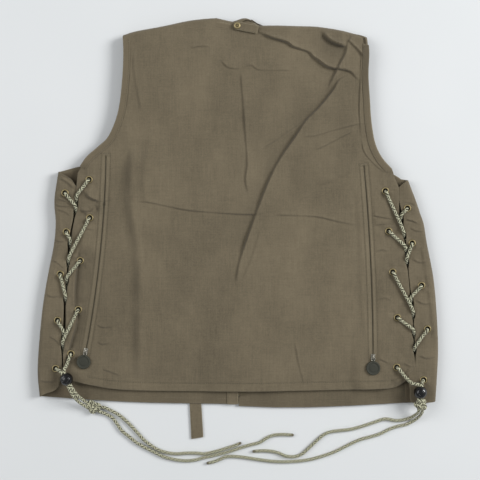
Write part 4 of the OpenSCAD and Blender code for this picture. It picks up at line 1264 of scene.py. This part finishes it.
# Darker lining on the fronts' inner faces, laid only where the gaps at the corners show it; it is partly
# lining and partly a painted shade for those gaps.
LEFT_LINING_AND_SHADE = [(-291, -249), (-262, -251), (-236, -253), (-252, -228), (-214, -226), (-214, 50), (-236, 60),
               (-236.5, 91), (-265, 83), (-271, 42), (-268, -30), (-287, -150)]
RIGHT_LINING_AND_SHADE = [(212, -226), (251, -228), (252, -260), (288, -258), (290, -180), (284, -70), (264, 40),
                (250, 62), (212, 50)]
patch("left_front_lining", LEFT_LINING_AND_SHADE, 5.3, 0.5, lining_cloth, "lining")
patch("right_front_lining", RIGHT_LINING_AND_SHADE, 5.3, 0.5, lining_cloth, "lining")

# a folded tape's cross-section: distance in from the edge, and height over the cloth's face
TAPE_FOLD = [(9.3, 0.0), (9.15, 0.8), (8.5, 1.2), (7.6, 0.8), (6.9, 1.0), (4.5, 1.0), (2.0, 1.0), (0.5, 0.95),
             (-0.45, 0.45), (-0.8, -0.5), (-0.5, -1.5), (0.4, -2.0), (3.0, -2.1), (8.0, -2.1), (8.3, -1.85),
             (8.0, -1.6), (3.0, -1.58), (0.6, -1.5), (-0.05, -1.0), (-0.05, -0.2), (0.3, 0.05), (3.0, 0.1),
             (7.0, 0.1)]
# each row's wear, and the painted shade in the tape's grooves
TAPE_WEAR = [0.1, 0.3, 0.2, 0, 0, 0, 0, 0.3, 0.7, 0.6, 0.3]
TAPE_SHADE = [0.5, 0, 0, 0.4, 0]


def binding(name, line, inward, surface, replaces, thick=1.0):
    """A folded tape round an edge. `inward` is +1 when the cloth is on the line's left."""
    line = curved(line, EDGE_STEP)
    n = left_of(line) * inward
    way = arc_lengths(line)
    swell = thick * (0.12 + 0.88 * ramp(way, 0, 9) * ramp(way[-1] - way, 0, 4))
    rows = []
    for d, h in TAPE_FOLD:
        p = line + n * d
        z, _ = surface(line + n * max(d, 1.4))
        rows.append(np.column_stack([p, z + (h * swell if h > 0 else h) + 0.1 * noise2(p, 5, 60)]))
    count, m = len(line), len(TAPE_FOLD)
    f = [q[::-inward] for q in skin(count, m)]
    # painted shade on the right armhole tape's upper part, where it lies in shade
    shade = 0.5 * ramp(line[:, 1], 150, 255) * (line[:, 0] > 180)
    wear, deep = (np.tile(q + [0] * (m - len(q)), count) for q in (TAPE_WEAR, TAPE_SHADE))
    piece(name, np.stack(rows, axis=1).reshape(-1, 3), f, binding_cloth, "binding", "root", replaces,
          wear=wear, deep=deep + np.repeat(shade, m))


left_binding_line = [(-170.5, 284)] + LEFT_ARMHOLE + [(-235, 94)]
right_binding_line = [(194.2, 274)] + RIGHT_ARMHOLE
BINDING_STITCH = 7.6
binding("left_armhole_tape", left_binding_line, 1, back_surface, ["left_armhole_binding"])
binding("right_armhole_tape", right_binding_line, -1, back_surface, ["right_armhole_binding"])

front_inner = level(FRONT_Z + CLOTH_T)
binding("left_front_tape", LEFT_FRONT_ARMHOLE[1:], 1, front_inner, [])
binding("right_front_tape", RIGHT_FRONT_ARMHOLE[1:], -1, front_inner, [])
binding("neck_tape", [(-31, 309), (-20, 307.5), (-9, 305)], -1, back_surface, ["neck_binding"], 0.4)

# ---- stitching -----------------------------------------------------------------------------

# one stitch: place along it, thickness, and rise over the cloth
STITCH = [(-1.0, 0.0, -0.55), (-0.82, 0.7, -0.2), (-0.4, 1, 0.05), (0.4, 1, 0.05), (0.82, 0.7, -0.2),
          (1.0, 0.0, -0.55)]
PITCH = 3.3
THREAD_R = 0.3


def stitches(name, lines, surface, lift=0.1, body="root"):
    """Lockstitches along flat lines: short threads whose ends sink into the cloth."""
    ring = circle((0, 0), THREAD_R, 6)
    place, size, rise = np.array(STITCH).T[:, None, :, None, None]
    across, over = ring.T[:, None, None, :, None]
    found = []
    for line in lines:
        line = curved(line, PITCH)
        a, b = line[:-1], line[1:]
        mid = (a + b) / 2
        z, za, zb = (surface(q)[0] for q in (mid, a * 0.62 + mid * 0.38, b * 0.62 + mid * 0.38))
        along = np.column_stack([b - a, (zb - za) / 0.62])
        along /= np.linalg.norm(along, axis=1)[:, None]
        side = np.column_stack([-along[:, 1], along[:, 0], 0 * z])
        side /= np.linalg.norm(side, axis=1)[:, None]
        centre = np.column_stack([mid, z + lift])
        c, t, s, up = (q[:, None, None] for q in (centre, along, side, np.cross(along, side)))
        found.append(c + t * place * (0.42 * PITCH) + s * size * across + up * (size * over + rise))
    v = np.vstack([q.reshape(-1, 3) for q in found])
    one = np.array(skin(len(STITCH), len(ring))[:-2])
    f = one + np.arange(0, len(v), len(STITCH) * len(ring))[:, None, None]
    piece(name, v, f.reshape(-1, 4).tolist(), thread, "cloth", body, angle=80)


stitches("back_stitching", BACK_STITCHES, back_surface, 0.24)
binding_lines = [curved(left_binding_line, 3), curved(right_binding_line, 3)]
binding_lines = [line + left_of(line) * way * BINDING_STITCH for line, way in zip(binding_lines, (1, -1))]
stitches("binding_stitching", binding_lines, back_surface, 0.85)
front_hem_lines = [shifted(FRONT_HEM_LEFT, 0, 8.5), shifted(FRONT_HEM_RIGHT[:4], 0, 8.5),
                   [(61, -266), (61, -240)], [(133, -265), (133, -239)]]
stitches("front_stitching", front_hem_lines, front_inner)
stitches("placket_stitching", [[(-13.5, -260), (-13.5, -238)], [(-2, -260), (-2, -238)]],
         level(PLACKET_TOP), 0.15)

# ---- zips ----------------------------------------------------------------------------------


def tape(line_of, count, lift=0.0):
    """A zip's tape; line_of(h) gives the flat line at side distance h."""
    rows = [np.column_stack([line_of(h), np.full(count, z + lift)]) for h, z in TAPE_PROFILE]
    v = np.stack(rows, axis=1).reshape(-1, 3)
    return v, [q[::-1] for q in skin(count, len(TAPE_PROFILE))]


# a tape's cross-section: distance from the zip's middle, and height; it lies lower under the front
TAPE_HALF = [(12, 13.4), (11.7, 13.85), (9, 13.9), (8.6, 13.8), (8.2, 13.9), (4, 13.9), (3.6, 13.7)]
TAPE_PROFILE = [(-h, z) for h, z in TAPE_HALF] + TAPE_HALF[::-1] + [(8, 13.3), (-8, 13.3)]
FRONT_TAPE_DROP = 4.9 - 13.3
COIL_PITCH = 1.7
COIL_STEP = 0.17
COIL_WIRE_R = 0.26


def coils(line, width, height, z):
    """Two interlocked nylon coils: flattened helixes along a flat line."""
    n = left_of(line)
    turns = []
    for phase in (0, math.pi):
        a = 2 * np.pi * arc_lengths(line) / COIL_PITCH + phase
        side = width * np.sign(np.cos(a)) * np.abs(np.cos(a)) ** 0.7
        helix = np.column_stack([line + n * side[:, None], z + height * np.sin(a)])
        turns.append(tube(helix, COIL_WIRE_R, 5))
    return merged(turns)


def slider_parts():
    """Slider, in local millimetres: +Y is up the zip, z from the plate's underside."""
    plate = box_outline(-3.1, 3.1, -5.3, 4.6, 1.4)
    plate[:, 0] *= 1 - 0.12 * ramp(-plate[:, 1], 0, 6)
    bridge = [(0, -3.2, 1.0), (0, -3.1, 2.4), (0, -1.8, 3.35), (0, 1.4, 3.35), (0, 2.9, 2.5), (0, 3.1, 1.0)]
    v, f = tube(curved(bridge, 0.5), 0.75, 10)
    v[:, 0] *= 1.2
    rails = [extruded(box_outline(x - 0.4, x + 0.4, -4.5, 3.8, 0.35), 1.1, 1.55, 0.15) for x in (-2.3, 2.3)]
    return [extruded(plate, 0, 1.25, 0.35), (v, f), *rails]


def link_part():
    ring = circle((0, 0), 1, 36) * (2.7, 3.1) - (0, 3)
    return tube(np.column_stack([ring, np.zeros(len(ring))]), 0.62, 10, closed=True)


DISC_PROFILE = [(0, 1.05), (3.5, 1.1), (5.2, 1.05), (5.8, 0.85), (6.2, 0.72), (7.4, 0.72), (7.9, 0.9),
                (8.3, 1.35), (9.3, 1.5), (10.1, 1.2), (10.5, 0.5), (10.5, -0.5), (10.1, -1.2), (9.3, -1.5),
                (8.0, -1.4), (7.4, -1.0), (0, -1.0)]
DISC_Y = -16.3
DISC_RIM_R = 9.4


def disc_parts():
    """A round pull with its ear, and how rubbed each point is."""
    disc, f = lathe(DISC_PROFILE[::-1], (0, DISC_Y, 0), 64, closed=False)
    x, y, z = disc.T
    ear = circle((-6.3, 0), 1.5, 24)
    ear = tube(np.column_stack([np.zeros(len(ear)), ear]), 0.75, 8, closed=True)
    rub = 0.2 * bell(np.hypot(x, y - DISC_Y), DISC_RIM_R, 0.5) * (z > 0)
    return [(disc, f), ear], np.r_[rub, np.zeros(len(ear[0]))]


def put(z, parts, height):
    """Local parts at the bottom of a zip, turned to run up it."""
    v, f = merged(parts)
    return turned(v, z.up(), (*z.bottom, height)), f


PLATE_Z = 15.4
LINK_Z = 17.5
for side, z in zip(("left", "right"), ZIPS):
    count = 140
    mm = np.linspace(-10, z.length + 12, count)
    piece(side + "_tape_cloth", *tape(lambda h: z.at(mm, h), count), tape_cloth, "zip_tape", "root",
          [side + "_zip_tape"])
    piece(side + "_coil_teeth", *coils(z.line(0, 3, 0, COIL_STEP), 1.75, 0.42, 14.42), coil_plastic,
          "zip_coil", "root", [side + "_zip_coil"])
    piece(side + "_slider_body", *put(z, slider_parts(), PLATE_Z), silver, "slider", side + "_slider",
          [side + "_zip_slider"])
    piece(side + "_link_ring", *put(z, [link_part()], LINK_Z), silver, "slider", side + "_pull",
          [side + "_pull_link"])
    parts, rub = disc_parts()
    piece(side + "_disc_pull", *put(z, parts, LINK_Z), rubber, "pull_disc", side + "_pull",
          [side + "_pull_disc"], wear=rub)

# front zip, under the centre line
count = 160
y = np.linspace(148, -250, count)
piece("front_tape_cloth", *tape(lambda h: np.column_stack([np.full(count, h), y]), count, FRONT_TAPE_DROP),
      tape_cloth, "zip_tape", "root", ["front_zip_tape"])
piece("front_coil_teeth", *coils(spaced([(0, 134), (0, -250)], COIL_STEP), 2.2, 0.5, 4.2), coil_plastic,
      "zip_coil", "root", ["front_zip_coil"])

# ---- eyelets -------------------------------------------------------------------------------

EYELET_TOP = [(3.3, 15.9), (3.35, 16.1), (3.7, 16.3), (4.3, 16.54), (4.9, 16.62), (5.4, 16.42), (5.75, 15.95),
              (5.7, 15.84), (3.95, 15.84)]
EYELET_FOOT = [(3.95, 0), (4.9, -0.08), (5.0, -0.35), (4.6, -0.5), (3.5, -0.45), (3.3, 0)]
for name, eyes, low in (("left_back_eyelets", LEFT_BACK_EYES, LINING_Z),
                        ("right_back_eyelets", RIGHT_BACK_EYES, LINING_Z),
                        ("left_front_eyelets", LEFT_FRONT_EYES, BACK_Z),
                        ("right_front_eyelets", RIGHT_FRONT_EYES, BACK_Z)):
    profile = (EYELET_TOP + [(r, low + z) for r, z in EYELET_FOOT])[::-1]
    # the crest is paler: rubbed brass, and partly a painted highlight
    wear = np.repeat([1.0 if z > 16.5 else 0.4 if z > 16.4 else 0 for _, z in profile], 36)
    v, f = merged([lathe(profile, (*eye, 0), 36) for eye in eyes])
    piece(name + "_rings", v, f, brass, "eyelet", "root", [name], wear=np.tile(wear, len(eyes)))

# ---- nape strap, snap and hem tab -----------------------------------------------------------

SNAP = np.array([-1.0, 303.0])
TAB_END = np.array([30.0, 297.0])
TAB_Z = BACK_TOP + 2.4
TAB_T = 1.4
TAB_HALF = 6
TAB_STITCH = 4.6
tab_dir = unit(TAB_END - SNAP)
tab_side = np.array([-tab_dir[1], tab_dir[0]])


def on_tab(x, y):
    """A flat point x along the strap from its snap and y to its left."""
    return SNAP + tab_dir * x + tab_side * y


tab_len = np.linalg.norm(TAB_END - SNAP)
tab_round = TAB_HALF * np.exp(1j * np.linspace(np.pi / 2, 3 * np.pi / 2, 13))
tab_outline = [on_tab(q.real, q.imag) for q in tab_round]
tab_outline += [on_tab(tab_len, -TAB_HALF), on_tab(tab_len, TAB_HALF)]
strap = patch("nape_strap", tab_outline, TAB_Z + TAB_T, TAB_T, cloth, "cloth", ["nape_tab"],
              body=None, step=2.2)
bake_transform(strap)
stitches("strap_stitching", [[on_tab(3, y), on_tab(tab_len - 2, y)] for y in (TAB_STITCH, -TAB_STITCH)],
         level(TAB_Z + TAB_T), 0.2, body="nape_tab")
# the snap's cap: radius, height and how rubbed it is
CAP = [(0, 2.0, 0.9), (1.3, 1.95, 0.5), (1.5, 1.5, 0), (2.0, 1.35, 0.1), (2.6, 1.5, 0.8), (3.4, 1.55, 1),
       (4.4, 1.3, 0.9), (5.0, 0.85, 0.4), (5.25, 0.35, 0.2), (5.2, 0.05, 0), (0, 0.0, 0)][::-1]
v, f = lathe([row[:2] for row in CAP], (*SNAP, TAB_Z + TAB_T + 0.05), 40, closed=False)
piece("nape_snap", v, f, brass, "snap", "nape_tab", ["nape_snap_cap"],
      wear=np.concatenate([np.full(40 if r else 1, w) for r, _, w in CAP]))

HEM_TAB_TOP = 2.8
hem_tab = patch("hem_tab_cloth", [(-73, -256), (-55.5, -256), (-52, -313), (-70, -316)], HEM_TAB_TOP, 1.7,
                cloth, "cloth", ["hem_tab"], body=None, step=3)
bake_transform(hem_tab)
hem_tab_lines = [[(-70, -268), (-68.2, -313)], [(-57, -268), (-54, -311)], [(-67, -312.5), (-55, -311)]]
stitches("hem_tab_stitching", hem_tab_lines, level(HEM_TAB_TOP), 0.14, body="hem_tab")

# ---- cord locks and carried-over CAD nodes --------------------------------------------------

LOCKS = (("left", LEFT_LOCK, "left_lock"), ("right", RIGHT_LOCK, "root"))
for side, lock, _ in LOCKS:
    piece(side + "_plunger_ring", *hoop((*lock, LOCK_Z + 9.6), 4.3, 0.55), lock_plastic, "cord_lock",
          side + "_plunger")

SPRING_R = 3.2
SPRING_WIRE_R = 0.35
SPRING_TURNS = 2.5
for side, lock, body in LOCKS:
    low, high = (corner[2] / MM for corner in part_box(side + "_lock_spring"))
    t = np.linspace(0, 1, 64)
    a = 2 * np.pi * SPRING_TURNS * t
    rise = (high - low - 2 * SPRING_WIRE_R) * np.clip(t * 1.3 - 0.15, 0, 1)
    line = np.column_stack([lock[0] + SPRING_R * np.cos(a), lock[1] + SPRING_R * np.sin(a),
                            low + SPRING_WIRE_R + rise])
    spring = piece(side + "_coil_spring", *tube(line, SPRING_WIRE_R, 10), steel, "spring", body,
                   [side + "_lock_spring"])
    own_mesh(spring)

KEPT = {"left_lock_body": lock_plastic, "right_lock_body": lock_plastic, "left_lock_plunger": lock_plastic,
        "right_lock_plunger": lock_plastic, "front_zip_slider": silver, "front_zip_pull": silver,
        "nape_snap_stud": brass}
for name, material in KEPT.items():
    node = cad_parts[name]
    node.data.materials.clear()
    node.data.materials.append(material)

# ---- floor ---------------------------------------------------------------------------------

# in metres
FLOOR_HALF = 3.0
FLOOR_DROP = 0.0004
mesh = bpy.data.meshes.new("floor")
mesh.from_pydata([(x * FLOOR_HALF, y * FLOOR_HALF, 0) for x, y in ((-1, -1), (1, -1), (1, 1), (-1, 1))], [],
                 [[0, 1, 2, 3]])
floor = bpy.data.objects.new("floor", mesh)
floor.location.z = -FLOOR_DROP
scene.collection.objects.link(floor)
s = Shader("paper")
tone = s.noise((260, 260, 260), 3.0, 0.5)
tone = s.mix(tone, linear(216, 219, 220), linear(223, 225, 226))
s.set(Base_Color=tone, Roughness=0.85, Specular_IOR_Level=0.2)
s.bump(s.noise((1.5, 1.5, 1.5), 2.0), 0.03, 0.3)
mesh.materials.append(s.material)
